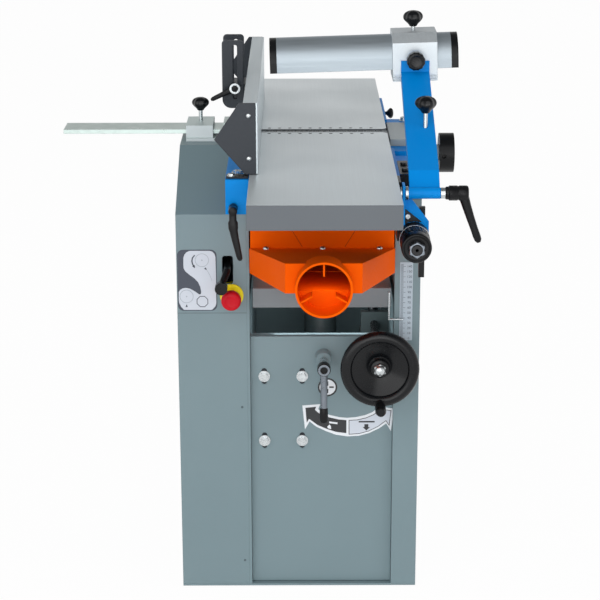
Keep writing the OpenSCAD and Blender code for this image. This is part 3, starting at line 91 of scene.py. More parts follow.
def startMaterial(name, colour, metallic, roughness, **values):
    material = bpy.data.materials.new(name)
    material.use_nodes = True
    tree = material.node_tree
    shader = tree.nodes["Principled BSDF"]
    shader.inputs["Base Color"].default_value = linear(colour)
    shader.inputs["Metallic"].default_value = metallic
    shader.inputs["Roughness"].default_value = roughness
    for label, value in values.items():
        shader.inputs[label.replace("_", " ")].default_value = value
    place = addNode(tree, "ShaderNodeTexCoord").outputs["Object"]
    return material, tree, shader, place


def feedShader(tree, shader, **sources):
    for label, source in sources.items():
        tree.links.new(source, shader.inputs[label.replace("_", " ")])


def perMetre(millimetres):
    return 1000 / millimetres


noiseBand = {"From Min": 0.3, "From Max": 0.7}  # where most of a noise lies
multiply = {"data_type": "RGBA", "blend_type": "MULTIPLY"}
bevelRays = {"samples": 4}  # folded, cast and moulded edges catch the light


# sprayed enamel on sheet steel: even colour, soft gloss, faint orange peel
def sprayedEnamel(name, colour, deeper, roughness=0.36, peelMm=3.0, gleam=0.4, cloudMm=160, edgeMm=1.6):
    material, tree, shader, place = startMaterial(
        name, colour, 0, roughness, Coat_Weight=0.1 * gleam, Coat_Roughness=0.25, Specular_IOR_Level=gleam)
    cloud = addNode(tree, "ShaderNodeTexNoise",
                    values={"Scale": perMetre(cloudMm), "Detail": 3, "Roughness": 0.55}, links={"Vector": place})
    blend = addNode(tree, "ShaderNodeMix", {"data_type": "RGBA"}, {"A": linear(colour), "B": linear(deeper)},
                    {"Factor": cloud.outputs["Fac"]})
    peel = addNode(tree, "ShaderNodeTexNoise", values={"Scale": perMetre(peelMm), "Detail": 2},
                   links={"Vector": place})
    gloss = addNode(tree, "ShaderNodeMapRange",
                    values={**noiseBand, "To Min": roughness - 0.05, "To Max": roughness + 0.07},
                    links={"Value": peel.outputs["Fac"]})
    edges = addNode(tree, "ShaderNodeBevel", bevelRays, {"Radius": edgeMm * mm})
    bump = addNode(tree, "ShaderNodeBump", values={"Strength": 0.05, "Distance": 0.4 * mm},
                   links={"Height": peel.outputs["Fac"], "Normal": edges.outputs["Normal"]})
    feedShader(tree, shader, Base_Color=blend.outputs["Result"], Roughness=gloss.outputs["Result"],
               Normal=bump.outputs["Normal"])
    return material


# cast iron, ground bright on top with fine lines along the table and painted on its sides;
# the lines are coarser than real grinding marks, so that they show
def groundCasting(name, topColour, sideColour, lineMm=2.2, shadedBelowMm=0, shadeColour="#2B3436", shineShare=0.55,
                  cloudMm=220, edgeMm=1.0):
    material, tree, shader, place = startMaterial(name, topColour, shineShare, 0.36)
    stretch = addNode(tree, "ShaderNodeMapping", values={"Scale": (1, 0.012, 1)}, links={"Vector": place})
    lines = addNode(tree, "ShaderNodeTexNoise", values={"Scale": perMetre(lineMm), "Detail": 4, "Roughness": 0.7},
                    links={"Vector": stretch.outputs["Vector"]})
    cloud = addNode(tree, "ShaderNodeTexNoise", values={"Scale": perMetre(cloudMm), "Detail": 4},
                    links={"Vector": place})
    tone = addNode(tree, "ShaderNodeMapRange", values={**noiseBand, "To Min": 0.97, "To Max": 1.02},
                   links={"Value": lines.outputs["Fac"]})
    ground = addNode(tree, "ShaderNodeMix", multiply, {"Factor": 1, "A": linear(topColour)},
                     {"B": tone.outputs["Result"]})
    facing = addNode(tree, "ShaderNodeNewGeometry")
    split = addNode(tree, "ShaderNodeSeparateXYZ", links={"Vector": facing.outputs["Normal"]})
    onTop = addNode(tree, "ShaderNodeMath", {"operation": "GREATER_THAN"}, {1: 0.9}, {0: split.outputs["Z"]})
    colour = addNode(tree, "ShaderNodeMix", {"data_type": "RGBA"}, {"A": linear(sideColour)},
                     {"Factor": onTop.outputs["Value"], "B": ground.outputs["Result"]})
    if shadedBelowMm:  # painted shade: below this height the sides take a darker colour, for the bed's column standing in the tunnel's shade
        level = addNode(tree, "ShaderNodeSeparateXYZ", links={"Vector": place})
        under = addNode(tree, "ShaderNodeMath", {"operation": "LESS_THAN"}, {1: shadedBelowMm * mm},
                        {0: level.outputs["Z"]})
        side = addNode(tree, "ShaderNodeMix", {"data_type": "RGBA"}, {"A": linear(sideColour), "B": linear(shadeColour)},
                       {"Factor": under.outputs["Value"]})
        tree.links.new(side.outputs["Result"], colour.inputs["A"])
    shine = addNode(tree, "ShaderNodeMath", {"operation": "MULTIPLY"}, {1: shineShare}, {0: onTop.outputs["Value"]})
    gloss = addNode(tree, "ShaderNodeMapRange",
                    values={"From Min": 0.25, "From Max": 0.75, "To Min": 0.3, "To Max": 0.46},
                    links={"Value": cloud.outputs["Fac"]})
    edges = addNode(tree, "ShaderNodeBevel", bevelRays, {"Radius": edgeMm * mm})
    bump = addNode(tree, "ShaderNodeBump", values={"Strength": 0.06, "Distance": 0.3 * mm},
                   links={"Height": lines.outputs["Fac"], "Normal": edges.outputs["Normal"]})
    feedShader(tree, shader, Base_Color=colour.outputs["Result"], Metallic=shine.outputs["Value"],
               Roughness=gloss.outputs["Result"], Normal=bump.outputs["Normal"])
    return material


# extruded and anodised aluminium: pale satin metal with die lines along the bar
def anodisedAluminium(name, colour, along, lineMm=1.6, roughness=0.32, edgeMm=1.2):
    material, tree, shader, place = startMaterial(name, colour, 0.85, roughness)
    stretch = addNode(tree, "ShaderNodeMapping",
                      values={"Scale": tuple(0.01 if k == along else 1 for k in "XYZ")}, links={"Vector": place})
    lines = addNode(tree, "ShaderNodeTexNoise", values={"Scale": perMetre(lineMm), "Detail": 3, "Roughness": 0.6},
                    links={"Vector": stretch.outputs["Vector"]})
    tone = addNode(tree, "ShaderNodeMapRange", values={**noiseBand, "To Min": 0.92, "To Max": 1.04},
                   links={"Value": lines.outputs["Fac"]})
    drawn = addNode(tree, "ShaderNodeMix", multiply, {"Factor": 1, "A": linear(colour)},
                    {"B": tone.outputs["Result"]})
    gloss = addNode(tree, "ShaderNodeMapRange",
                    values={**noiseBand, "To Min": roughness - 0.06, "To Max": roughness + 0.1},
                    links={"Value": lines.outputs["Fac"]})
    edges = addNode(tree, "ShaderNodeBevel", bevelRays, {"Radius": edgeMm * mm})
    bump = addNode(tree, "ShaderNodeBump", values={"Strength": 0.08, "Distance": 0.2 * mm},
                   links={"Height": lines.outputs["Fac"], "Normal": edges.outputs["Normal"]})
    feedShader(tree, shader, Base_Color=drawn.outputs["Result"], Roughness=gloss.outputs["Result"],
               Normal=bump.outputs["Normal"])
    return material


# zinc plated or turned steel: bright, slightly mottled, with handling marks
def platedSteel(name, colour, roughness=0.26, spotMm=6, edgeMm=0.8):
    material, tree, shader, place = startMaterial(name, colour, 1, roughness)
    spots = addNode(tree, "ShaderNodeTexNoise", values={"Scale": perMetre(spotMm), "Detail": 5, "Roughness": 0.65},
                    links={"Vector": place})
    tone = addNode(tree, "ShaderNodeMapRange", values={**noiseBand, "To Min": 0.86, "To Max": 1.06},
                   links={"Value": spots.outputs["Fac"]})
    mottled = addNode(tree, "ShaderNodeMix", multiply, {"Factor": 1, "A": linear(colour)},
                      {"B": tone.outputs["Result"]})
    gloss = addNode(tree, "ShaderNodeMapRange",
                    values={**noiseBand, "To Min": roughness - 0.08, "To Max": roughness + 0.12},
                    links={"Value": spots.outputs["Fac"]})
    edges = addNode(tree, "ShaderNodeBevel", bevelRays, {"Radius": edgeMm * mm})
    feedShader(tree, shader, Base_Color=mottled.outputs["Result"], Roughness=gloss.outputs["Result"],
               Normal=edges.outputs["Normal"])
    return material


# moulded plastic: fine spark-eroded grain, broken soft gloss
def mouldedPlastic(name, colour, roughness, grainMm=1.2, strength=0.18, gleam=0.35, edgeMm=1.8):
    material, tree, shader, place = startMaterial(name, colour, 0, roughness, IOR=1.5, Specular_IOR_Level=gleam)
    grain = addNode(tree, "ShaderNodeTexNoise", values={"Scale": perMetre(grainMm), "Detail": 3},
                    links={"Vector": place})
    gloss = addNode(tree, "ShaderNodeMapRange",
                    values={**noiseBand, "To Min": roughness - 0.06, "To Max": roughness + 0.1},
                    links={"Value": grain.outputs["Fac"]})
    edges = addNode(tree, "ShaderNodeBevel", bevelRays, {"Radius": edgeMm * mm})
    bump = addNode(tree, "ShaderNodeBump", values={"Strength": strength, "Distance": 0.3 * mm},
                   links={"Height": grain.outputs["Fac"], "Normal": edges.outputs["Normal"]})
    feedShader(tree, shader, Roughness=gloss.outputs["Result"], Normal=bump.outputs["Normal"])
    return material


# printed film: flat ink under a satin skin
def printedFilm(name, colour, roughness=0.45, cloudMm=25):
    material, tree, shader, place = startMaterial(name, colour, 0, roughness, IOR=1.49)
    cloud = addNode(tree, "ShaderNodeTexNoise", values={"Scale": perMetre(cloudMm), "Detail": 2},
                    links={"Vector": place})
    gloss = addNode(tree, "ShaderNodeMapRange",
                    values={**noiseBand, "To Min": roughness - 0.05, "To Max": roughness + 0.05},
                    links={"Value": cloud.outputs["Fac"]})
    feedShader(tree, shader, Roughness=gloss.outputs["Result"])
    return material


greyEnamel = sprayedEnamel("greyEnamelSheet", "#75898F", "#6F8389")
blueEnamel = sprayedEnamel("blueEnamelSteel", "#0088DA", "#007FD0", 0.4, 3.0, 0.1)
orangeEnamel = sprayedEnamel("orangeEnamelSheet", "#F25E00", "#E85700", 0.5, 3.0, 0.03)
darkEnamel = sprayedEnamel("darkGreyEnamelPlate", "#2C3138", "#282D33", 0.42, 3.0, 0.3)
# painted shade: the lift casting inside the tunnel takes the dark grey-green of the shade it stands in
shadedCasting = sprayedEnamel("castingEnamelPaintedShade", "#3C484A", "#364143", 0.5, 5, 0.2)
greyCasting = sprayedEnamel("greyEnamelCasting", "#A4AEB1", "#98A2A6", 0.42, 5)
groundIron = groundCasting("groundCastIron", "#D8E0E3", "#545A60")
# painted shade on the bed's sides below 567.5 mm, where its column stands in the tunnel's shade
bedIron = groundCasting("groundBedIronPaintedShade", "#A6AFB3", "#6F777C", 2.2, 567.5)
guardAlloy = anodisedAluminium("anodisedGuardAlloy", "#AAB4BB", "X", 1.6, 0.46)
carriageAlloy = anodisedAluminium("anodisedCarriageAlloy", "#CFD6DA", "Y", 2.0, 0.5)
fenceAlloy = anodisedAluminium("anodisedFenceAlloy", "#CBD5D9", "Y", 2.5, 0.42)
zincSteel = platedSteel("zincPlatedSteel", "#C9CED0")
barSteel = platedSteel("drawnBarSteel", "#BAC8C4", 0.34, 14)
cutterSteel = platedSteel("groundToolSteel", "#8F9599", 0.3)
blackNylon = mouldedPlastic("blackNylonMoulded", "#0E0F11", 0.32, 1.2, 0.14, 0.22)
blackPhenolic = mouldedPlastic("blackPhenolicMoulded", "#0B0D10", 0.22, 2, 0.05, 0.28)
redAbs = mouldedPlastic("redAbsMoulded", "#BE1222", 0.36, 1.5, 0.08, 0.15)
yellowAbs = mouldedPlastic("yellowAbsMoulded", "#EBDC12", 0.4)
beltRubber = mouldedPlastic("beltRubberRibbed", "#151515", 0.7, 2, 0.4)
paleFilm = printedFilm("paleLabelFilm", "#C4CBD5")
scaleFilm = printedFilm("greyScaleFilm", "#ACBBC6")
milledSteel = groundCasting("milledBlockSteel", "#C2D1CF", "#C4CDCF")
slateInk = printedFilm("slateLabelInk", "#3C4350")
blackInk = printedFilm("blackScaleInk", "#26282B")
whiteInk = printedFilm("whiteLabelInk", "#DCE1E6")
greyInk = printedFilm("greyLabelInk", "#98A2AC")
seamShade = printedFilm("shadedSheetSeam", "#4C5A60", 0.7)
# painted shade: darker orange strokes along the hood's folds
orangeFoldShade = sprayedEnamel("orangeEnamelFoldShade", "#A83A00", "#9E3500", 0.45, 3.0, 0.15)
leverSteel = platedSteel("burnishedLeverSteel", "#7F868E", 0.3, 9)
oxideSteel = sprayedEnamel("blackOxideSteel", "#17181A", "#101113", 0.42, 2, 0.35)

finishes = [
    (greyEnamel, "base_frame", "left_side_plate", "drive_cover", "right_column", "front_panel", "rear_panel"),
    (greyCasting, "bearing_housings", "feed_gearbox"),
    (zincSteel, "cutter_bearings", "motor_bolts", "feed_chains", "planer_knives", "outfeed_roller",
     "height_pointer", "feed_lever"),
    (darkEnamel, "motor", "fence_end_plates", "fence_links"),
    (beltRubber, "drive_belt"),
    (blueEnamel, "table_supports", "outfeed_bracket", "infeed_side_rail", "left_table_bracket", "swing_bracket",
     "guard_arm"),
    (groundIron, "outfeed_table", "infeed_table"),
    (orangeEnamel, "dust_hood"),
    (shadedCasting, "lift_casting"),
    (scaleFilm, "height_scale"),
    (yellowAbs, "estop_ring"),
    (milledSteel, "fence_clamp_block"),
    (blackNylon, "cable_gland", "handwheel_grip", "selector_lever", "table_lock_lever", "depth_wheel",
     "pivot_mount", "swing_drum", "arm_clamp_lever", "arm_stop_knob", "carriage_knob", "guard_end_caps",
     "guard_clamp_knob", "fence_star_knob", "tilt_handle"),
    (cutterSteel, "cutterblock", "motor_pulley", "infeed_roller", "drive_sprocket", "kickback_fingers",
     "lift_screw"),
    (bedIron, "thicknesser_bed"),
    (blackPhenolic, "handwheel"),
    (redAbs, "estop_button"),
    (carriageAlloy, "guard_carriage"),
    (guardAlloy, "guard_profile"),
    (barSteel, "fence_carriage"),
    (fenceAlloy, "fence")]
for finish, *names in finishes:
    for name in names:
        mesh = nodes[name].data
        mesh.materials.clear()
        mesh.materials.append(finish)
print("finishes set on", sum(len(row) - 1 for row in finishes), "pieces")


# small mesh tools: sizes and places in millimetres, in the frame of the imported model
def joinRings(bm, low, high):
    for i in range(max(len(low), len(high))):
        ring = [low[i % len(low)], low[(i + 1) % len(low)], high[(i + 1) % len(high)], high[i % len(high)]]
        bm.faces.new(list(dict.fromkeys(ring)))


def addLathe(bm, profile, place, axis, steps=40, wave=None, closed=False):
    axis = Vector(axis).normalized()
    side = Vector((0, 0, 1)) if abs(axis.z) < 0.9 else Vector((1, 0, 0))
    side = (side - axis * side.dot(axis)).normalized()
    other = axis.cross(side)
    rings = []
    for radius, height in profile:
        centre = Vector(place) + axis * height
        if radius == 0:
            rings.append([bm.verts.new(centre * mm)])
            continue
        ring = []
        for i in range(steps):
            t = 2 * math.pi * i / steps
            swell = wave(t, height) if wave else 1
            ring.append(bm.verts.new((centre + (side * math.cos(t) + other * math.sin(t)) * radius * swell) * mm))
        rings.append(ring)
    for low, high in zip(rings, rings[1:] + (rings[:1] if closed else [])):
        joinRings(bm, low, high)
    if not closed:
        for ring in (rings[0], rings[-1]):
            if len(ring) > 1:
                bm.faces.new(ring)


def addPrism(bm, outline, place, depth, right=(1, 0, 0), up=(0, 0, 1)):
    right, up = Vector(right), Vector(up)
    out = right.cross(up)
    rows = [[bm.verts.new((Vector(place) + right * u + up * v + out * d) * mm) for u, v in outline]
            for d in (0, depth)]
    bm.faces.new(rows[0])
    bm.faces.new(rows[1])
    joinRings(bm, rows[0], rows[1])


def addSweep(bm, path, sizes, side, steps=24, squareness=0.7):  # 1 is an oval section
    path = [Vector(p) for p in path]
    rings = []
    for i, point in enumerate(path):
        along = (path[min(i + 1, len(path) - 1)] - path[max(i - 1, 0)]).normalized()
        across = (Vector(side) - along * Vector(side).dot(along)).normalized()
        third = along.cross(across)
        wide, thick = sizes[i]
        ring = []
        for k in range(steps):
            t = 2 * math.pi * k / steps
            c, d = math.cos(t), math.sin(t)
            u, v = math.copysign(abs(c) ** squareness, c), math.copysign(abs(d) ** squareness, d)
            ring.append(bm.verts.new((point + across * wide * u + third * thick * v) * mm))
        rings.append(ring)
    for low, high in zip(rings, rings[1:]):
        joinRings(bm, low, high)
    bm.faces.new(rings[0])
    bm.faces.new(rings[-1])


sharpAngle = math.radians(38)  # steeper folds shade as edges


def finishPiece(name, bm, material, body, stands=(), bevelMm=0):
    bmesh.ops.recalc_face_normals(bm, faces=bm.faces)
    mesh = bpy.data.meshes.new(name)
    bm.to_mesh(mesh)
    bm.free()
    mesh.shade_smooth()
    mesh.set_sharp_from_angle(angle=sharpAngle)
    mesh.materials.append(material)
    piece = bpy.data.objects.new(name, mesh)
    scene.collection.objects.link(piece)
    if bevelMm:
        bevel = piece.modifiers.new("softEdge", "BEVEL")
        bevel.width, bevel.segments, bevel.limit_method = bevelMm * mm, 3, "ANGLE"
    if stands:
        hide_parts(*stands)
    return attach(piece, body)


def quarterArc(cx, cz, radius, start, steps=6):
    turns = [math.radians(start + 90 * k / steps) for k in range(steps + 1)]
    return [(cx + radius * math.cos(t), cz + radius * math.sin(t)) for t in turns]


def roundedBox(x0, z0, x1, z1, corner):
    left, right, low, high = x0 + corner, x1 - corner, z0 + corner, z1 - corner
    points = []
    for cx, cz, start in ((right, low, -90), (right, high, 0), (left, high, 90), (left, low, 180)):
        points += quarterArc(cx, cz, corner, start)
    return points


def addStroke(bm, points, width, y, depth):
    for (ax, az), (bx, bz) in zip(points, points[1:]):
        size = math.hypot(bx - ax, bz - az)
        ux, uz = (bx - ax) / size * width / 2, (bz - az) / size * width / 2
        ax, az, bx, bz = ax - ux * 0.5, az - uz * 0.5, bx + ux * 0.5, bz + uz * 0.5  # lengths overlap at a bend
        corners = [(ax - uz, az + ux), (ax + uz, az - ux), (bx + uz, bz - ux), (bx - uz, bz + ux)]
        addPrism(bm, corners, (0, y, 0), depth)


headShape = ((0.9, 0), (-0.6, 0.62), (-0.6, -0.62))  # shares of the size, point first


def arrowHead(x, z, angle, size):
    t = math.radians(angle)
    c, d = math.cos(t), math.sin(t)
    return [(x + size * (u * c - v * d), z + size * (u * d + v * c)) for u, v in headShape]


def addRing(bm, x, y, z, radius, line, depth, steps=40):
    addLathe(bm, [(radius - line / 2, 0), (radius + line / 2, 0), (radius + line / 2, depth),
                  (radius - line / 2, depth)], (x, y, z), (0, -1, 0), steps, None, True)


# control label on the drive cover: slate plate, pale window, two dials, arrows and an empty octagon
controlLabel = {
    "front": -260, "plate": (-268.5, 562.8, -195.2, 681), "corner": 11, "skin": 0.25,
    "window": [(-244.8, 678.9), (-207.6, 678.8), (-202.9, 677.2), (-199.2, 673.1), (-197.4, 667.2), (-196.8, 630.8),
               (-197, 577.3), (-198.8, 571.4), (-204.7, 565.2), (-207.5, 564.6), (-257.5, 564.8), (-262.6, 570.6),
               (-266.3, 578.5), (-266.8, 587.5), (-266.6, 599.4), (-263.8, 603.8), (-259, 606.5), (-252.9, 607.5),
               (-245.8, 606.1), (-238.3, 601.8), (-232.6, 597.8), (-228.4, 594.7), (-225.3, 595.8), (-224.8, 600.3),
               (-226.3, 609.2), (-230.4, 618.6), (-236.9, 626), (-246.2, 633), (-253.4, 639.4), (-256.4, 644.8),
               (-257, 650.7), (-256.7, 665.4), (-254.9, 671.3), (-251, 676.2)],
    "dials": [(-222.5, 660.9), (-252.2, 590.9)], "dialRadius": 12.4, "dialLine": 0.9,
    "octagon": (-222.8, 580.9, 11.6), "octagonLine": 1.4, "sweepLine": 2.2, "leadLine": 0.7,
    "sweep": [(-236, 670.3), (-239.9, 665.4), (-241, 659.5), (-240.1, 654.1), (-237.8, 649.7)],
    "heads": [(-237.2, 648.6, -60, 4.2), (-215.6, 644.2, -50, 3.6), (-252.4, 572.5, 90, 3.6)],
    "lead": [(-213.4, 641.8), (-209.6, 634.8), (-206.4, 627.4), (-204.2, 621)]}


def makeControlLabel(label):
    y, skin = label["front"], label["skin"]
    bm = bmesh.new()
    addPrism(bm, roundedBox(*label["plate"], label["corner"]), (0, y, 0), skin)
    finishPiece("controlLabelPlate", bm, slateInk, "frame")
    bm = bmesh.new()
    addPrism(bm, label["window"], (0, y - skin, 0), skin)
    finishPiece("controlLabelWindow", bm, paleFilm, "frame")
    bm = bmesh.new()
    for x, z in label["dials"]:
        addRing(bm, x, y - 2 * skin, z, label["dialRadius"], label["dialLine"], skin)
        addRing(bm, x, y - 2 * skin, z, label["dialLine"], label["dialLine"], skin, 12)
    addStroke(bm, label["lead"], label["leadLine"], y - 2 * skin, skin)
    finishPiece("controlLabelDials", bm, greyInk, "frame")
    bm = bmesh.new()
    addStroke(bm, label["sweep"], label["sweepLine"], y - 2 * skin, skin)
    for head in label["heads"]:
        addPrism(bm, arrowHead(*head), (0, y - 2 * skin, 0), skin)
    x, z, radius = label["octagon"]
    turns = [math.radians(22.5 + 45 * k) for k in range(8)]
    corners = [(x + r * math.cos(t), z + r * math.sin(t))
               for r in (radius, radius - label["octagonLine"]) for t in turns]
    for k in range(8):
        n = (k + 1) % 8
        addPrism(bm, [corners[k], corners[n], corners[8 + n], corners[8 + k]], (0, y - 2 * skin, 0), skin)
    finishPiece("controlLabelMarks", bm, slateInk, "frame")


makeControlLabel(controlLabel)

# feed lever labels on the front panel: curved two-way banner and a round sign
feedLabel = {
    "front": -248, "skin": 0.25, "round": (11, 406.5, 18.5), "roundLine": 3.2, "crossFrom": 4, "crossTo": 11,
    "crossLine": 3, "edgeLine": 1.2,
    "banner": [(-36.9, 369.6), (-2.8, 372.2), (-6.6, 362.1), (-0.3, 356), (14.3, 350.6), (33.3, 345.8),
               (48.5, 344.4), (64.9, 345.7), (82.6, 349.7), (96.5, 355.7), (106.5, 363.8), (115.4, 366),
               (137.5, 363), (132.3, 317.1), (123.3, 332.7), (109.4, 322.6), (90.5, 313.2), (71.5, 307.8),
               (49.9, 306.5), (27.1, 310), (8, 317.5), (-11, 327), (-23, 337.2), (-31.9, 321)],
    "dark": [(-31, 365), (-10.5, 367), (-13, 361), (-4, 352.6), (13, 345.8), (32, 341.2),
             (47.2, 339.6), (47.2, 313.2), (27.1, 316), (9.6, 322), (-8.4, 330.4), (-24, 342.6),
             (-28.6, 335)],
    "light": [(52.2, 339.4), (67.8, 340.2), (84.6, 344.2), (98.6, 350.6), (110, 359.2), (117, 361.4),
              (132, 358.8), (128.8, 329), (122.6, 338.6), (107.6, 326.8), (90, 317.6), (71.2, 312.2),
              (52.4, 311)],
    "bars": [[(70.7, 338), (101.1, 338), (101.1, 335), (70.7, 335)],
             [(81.5, 331.5), (89.1, 331.5), (89.1, 325.4), (92.3, 325.4), (85.4, 318.6), (78.4, 325.4),
              (81.5, 325.4)]],
    "paleBars": [[(14.3, 337.4), (30.1, 335.2), (30.1, 331.6), (14.3, 333.8)],
                 [(11.8, 323.6), (18.2, 321.5), (17.5, 327.6), (15, 331), (10.6, 327)]]}


def makeFeedLabels(label):
    y, skin = label["front"], label["skin"]
    bm = bmesh.new()
    addPrism(bm, label["banner"], (0, y, 0), skin)
    x, z, radius = label["round"]
    addLathe(bm, [(radius, 0), (radius, skin)], (x, y, z), (0, -1, 0), 48)
    finishPiece("feedLabelBacks", bm, whiteInk, "frame")
    bm = bmesh.new()
    addPrism(bm, label["dark"], (0, y - skin, 0), skin)
    addStroke(bm, label["light"] + label["light"][:1], label["edgeLine"], y - 1.5 * skin, skin)
    for bar in label["bars"]:
        addPrism(bm, bar, (0, y - 2 * skin, 0), skin)
    addRing(bm, x, y - skin, z, radius - label["roundLine"] / 2, label["roundLine"], skin, 48)
    for k in range(4):
        t = math.radians(90 * k)
        ends = [(x + r * math.cos(t), z + r * math.sin(t)) for r in (label["crossFrom"], label["crossTo"])]
        addStroke(bm, ends, label["crossLine"], y - skin, skin)
    finishPiece("feedLabelInk", bm, blackInk, "frame")
    bm = bmesh.new()
    addPrism(bm, label["light"], (0, y - skin, 0), skin)
    finishPiece("feedLabelLight", bm, paleFilm, "frame")
    bm = bmesh.new()
    for bar in label["paleBars"]:
        addPrism(bm, bar, (0, y - 2 * skin, 0), skin)
    finishPiece("feedLabelMarks", bm, whiteInk, "frame")


makeFeedLabels(feedLabel)

# height scale: a line every 2 mm, longer every 10 mm, with plain figures
heightScale = {"front": -261, "lineStart": 146.5, "low": 508, "high": 652, "step": 2, "major": 5, "long": 9,
               "short": 5, "half": 0.3, "ink": 0.2, "figure": 6.5, "figureAt": 162.5}


def makeHeightScale(scale):
    bm = bmesh.new()
    left, half = scale["lineStart"], scale["half"]
    upright = Matrix.Rotation(math.pi / 2, 4, "X")
    for count in range((scale["high"] - scale["low"]) // scale["step"] + 1):
        z = scale["low"] + scale["step"] * count
        major = count % scale["major"] == 0
        right = left + (scale["long"] if major else scale["short"])
        line = [(left, z - half), (right, z - half), (right, z + half), (left, z + half)]
        addPrism(bm, line, (0, scale["front"], 0), scale["ink"])
        if major:
            curve = bpy.data.curves.new("scaleFigure", "FONT")
            curve.body, curve.size = str(scale["step"] * count), scale["figure"] * mm
            curve.align_x = curve.align_y = "CENTER"
            holder = bpy.data.objects.new("scaleFigure", curve)
            flat = holder.to_mesh()
            spot = Vector((scale["figureAt"], scale["front"] - scale["ink"], z)) * mm
            flat.transform(Matrix.Translation(spot) @ upright)
            bm.from_mesh(flat)
            holder.to_mesh_clear()
            bpy.data.objects.remove(holder)
            bpy.data.curves.remove(curve)
    finishPiece("heightScaleLines", bm, slateInk, "frame")


makeHeightScale(heightScale)
print("labels and scale drawn")

# sheet seams that show as thin lines, and painted shade lines along the hood's folds
sheetLines = {"cover": -260, "seam": (-269.6, -140.6, 558.3), "seamHalf": 0.45, "seamSkin": 0.12,
              "holes": [(-151, 371), (-149, 54)], "hole": [(2.4, 0), (2.2, 0.3), (0, 0.3)],
              "hood": -285, "foldLine": 1.0, "foldSkin": 0.15,
              "folds": [[(-55.5, 724.5), (-36.5, 693.0)], [(61.0, 724.5), (41.8, 693.0)]]}


def makeSheetLines(lines):
    bm = bmesh.new()
    x0, x1, z = lines["seam"]
    half = lines["seamHalf"]
    seam = [(x0, z - half), (x1, z - half), (x1, z + half), (x0, z + half)]
    addPrism(bm, seam, (0, lines["cover"], 0), lines["seamSkin"])
    for x, z in lines["holes"]:
        addLathe(bm, lines["hole"], (x, lines["cover"], z), (0, -1, 0), 20)
    finishPiece("coverSeamAndHoles", bm, seamShade, "frame")
    bm = bmesh.new()
    for fold in lines["folds"]:
        addStroke(bm, fold, lines["foldLine"], lines["hood"], lines["foldSkin"])
    finishPiece("hoodFoldShadeLines", bm, orangeFoldShade, "frame")


makeSheetLines(sheetLines)

domeProfile = [(1, 0.2), (0.9, 0.55), (0.62, 0.86), (0.3, 0.98), (0, 1)]  # shares of radius and height


def addDome(bm, place, axis, radius, height, sunk=0.5):
    addLathe(bm, [(radius, -sunk)] + [(r * radius, h * height) for r, h in domeProfile], place, axis, 24)


def addHexBolt(bm, place, axis, radius, height, washer=0, washerTop=1.7):
    base = 0
    if washer:
        addLathe(bm, [(washer, 0), (washer, 1.3), (washer - 0.4, washerTop), (0, washerTop)], place, axis, 32)
        base = washerTop - 0.1
    addLathe(bm, [(radius, base), (radius, base + height * 0.8), (radius * 0.88, base + height), (0, base + height)],
             place, axis, 6)


# dome screws: body, axis, radius, height, places
domeScrews = {
    "hoodScrews": ("frame", (0, 0.14, 0.99), 5.8, 5.6,
                   [(-103.2, -295, 691.4), (0.8, -295, 691.4), (104.9, -295, 691.4)]),
    "fencePlateScrews": ("fence_unit", (0, -1, 0), 4.6, 3.2, [(-130.4, -379, 956.2), (-130.2, -379, 879.7)]),
    "fenceFarScrews": ("fence_unit", (0, 1, 0), 4.6, 3.2, [(-130.4, 359, 956.2), (-130.2, 359, 879.7)])}
# hexagon bolts and nuts: body, finish, axis, radius, height, washer as a share of the radius, place
hexBolts = {
    "leftBracketBolts": ("infeed", zincSteel, (0, 0, 1), 8.6, 2.5, 1.28, (-151, -341.5, 846)),
    "swingBracketBolts": ("swing", zincSteel, (0, -1, 0), 5.2, 4.0, 0, (147.6, -424, 786)),
    "outfeedBracketBolt": ("frame", zincSteel, (0, 0, 1), 9.8, 6.6, 1.28, (174, 144.9, 840)),
    "handwheelNut": ("wheel", zincSteel, (0, -1, 0), 13, 8.4, 0, (106, -334.8, 472)),
    "drumNut": ("infeed", leverSteel, (0, -1, 0), 15.4, 9.6, 0, (159, -505.5, 749))}
nutCaps = {"handwheelNut": ((106, -343, 472), 10.0, 7.0)}  # place, radius, height
shaftEnd = {"place": (159, -505.5, 749),
            "profile": [(9.6, 8), (9.6, 10.2), (8.6, 11.2), (3, 11.2), (2.4, 10), (0, 10)]}
lipScrews = {"rows": {"infeedLipScrews": ("infeed", -26), "outfeedLipScrews": ("frame", 26)}, "pitch": 20,
             "top": 848.3, "eachSide": 5,
             "profile": [(3.3, 0), (3.3, 1.2), (2.9, 1.6), (1.7, 1.6), (1.7, 0.4), (0, 0.4)]}


def makeFasteners():
    for name, (body, axis, radius, height, places) in domeScrews.items():
        bm = bmesh.new()
        for place in places:
            addDome(bm, place, axis, radius, height)
        finishPiece(name, bm, zincSteel, body)
    for name, (body, finish, axis, radius, height, washer, place) in hexBolts.items():
        bm = bmesh.new()
        addHexBolt(bm, place, axis, radius, height, radius * washer)
        if name in nutCaps:
            spot, capRadius, capHeight = nutCaps[name]
            addDome(bm, spot, axis, capRadius, capHeight)
        finishPiece(name, bm, finish, body)
    bm = bmesh.new()
    addLathe(bm, shaftEnd["profile"], shaftEnd["place"], (0, -1, 0), 32)
    finishPiece("pivotShaftEnd", bm, oxideSteel, "infeed")
    for name, (body, y) in lipScrews["rows"].items():
        bm = bmesh.new()
        for k in range(-lipScrews["eachSide"], lipScrews["eachSide"] + 1):
            addLathe(bm, lipScrews["profile"], (lipScrews["pitch"] * k, y, lipScrews["top"]), (0, 0, 1), 24)
        finishPiece(name, bm, oxideSteel, body)


makeFasteners()

# dark web on the swing bracket, under its blue strip and above the drum
swingWeb = {"face": -421, "thick": 3, "edge": 0.4,
            "outline": [(141.7, 770.4), (150, 775.4), (159, 776.8), (168, 775.4), (172, 775.8), (141.7, 800)]}
bm = bmesh.new()
addPrism(bm, swingWeb["outline"], (0, swingWeb["face"], 0), swingWeb["thick"])
finishPiece("swingBracketWeb", bm, oxideSteel, "swing", (), swingWeb["edge"])

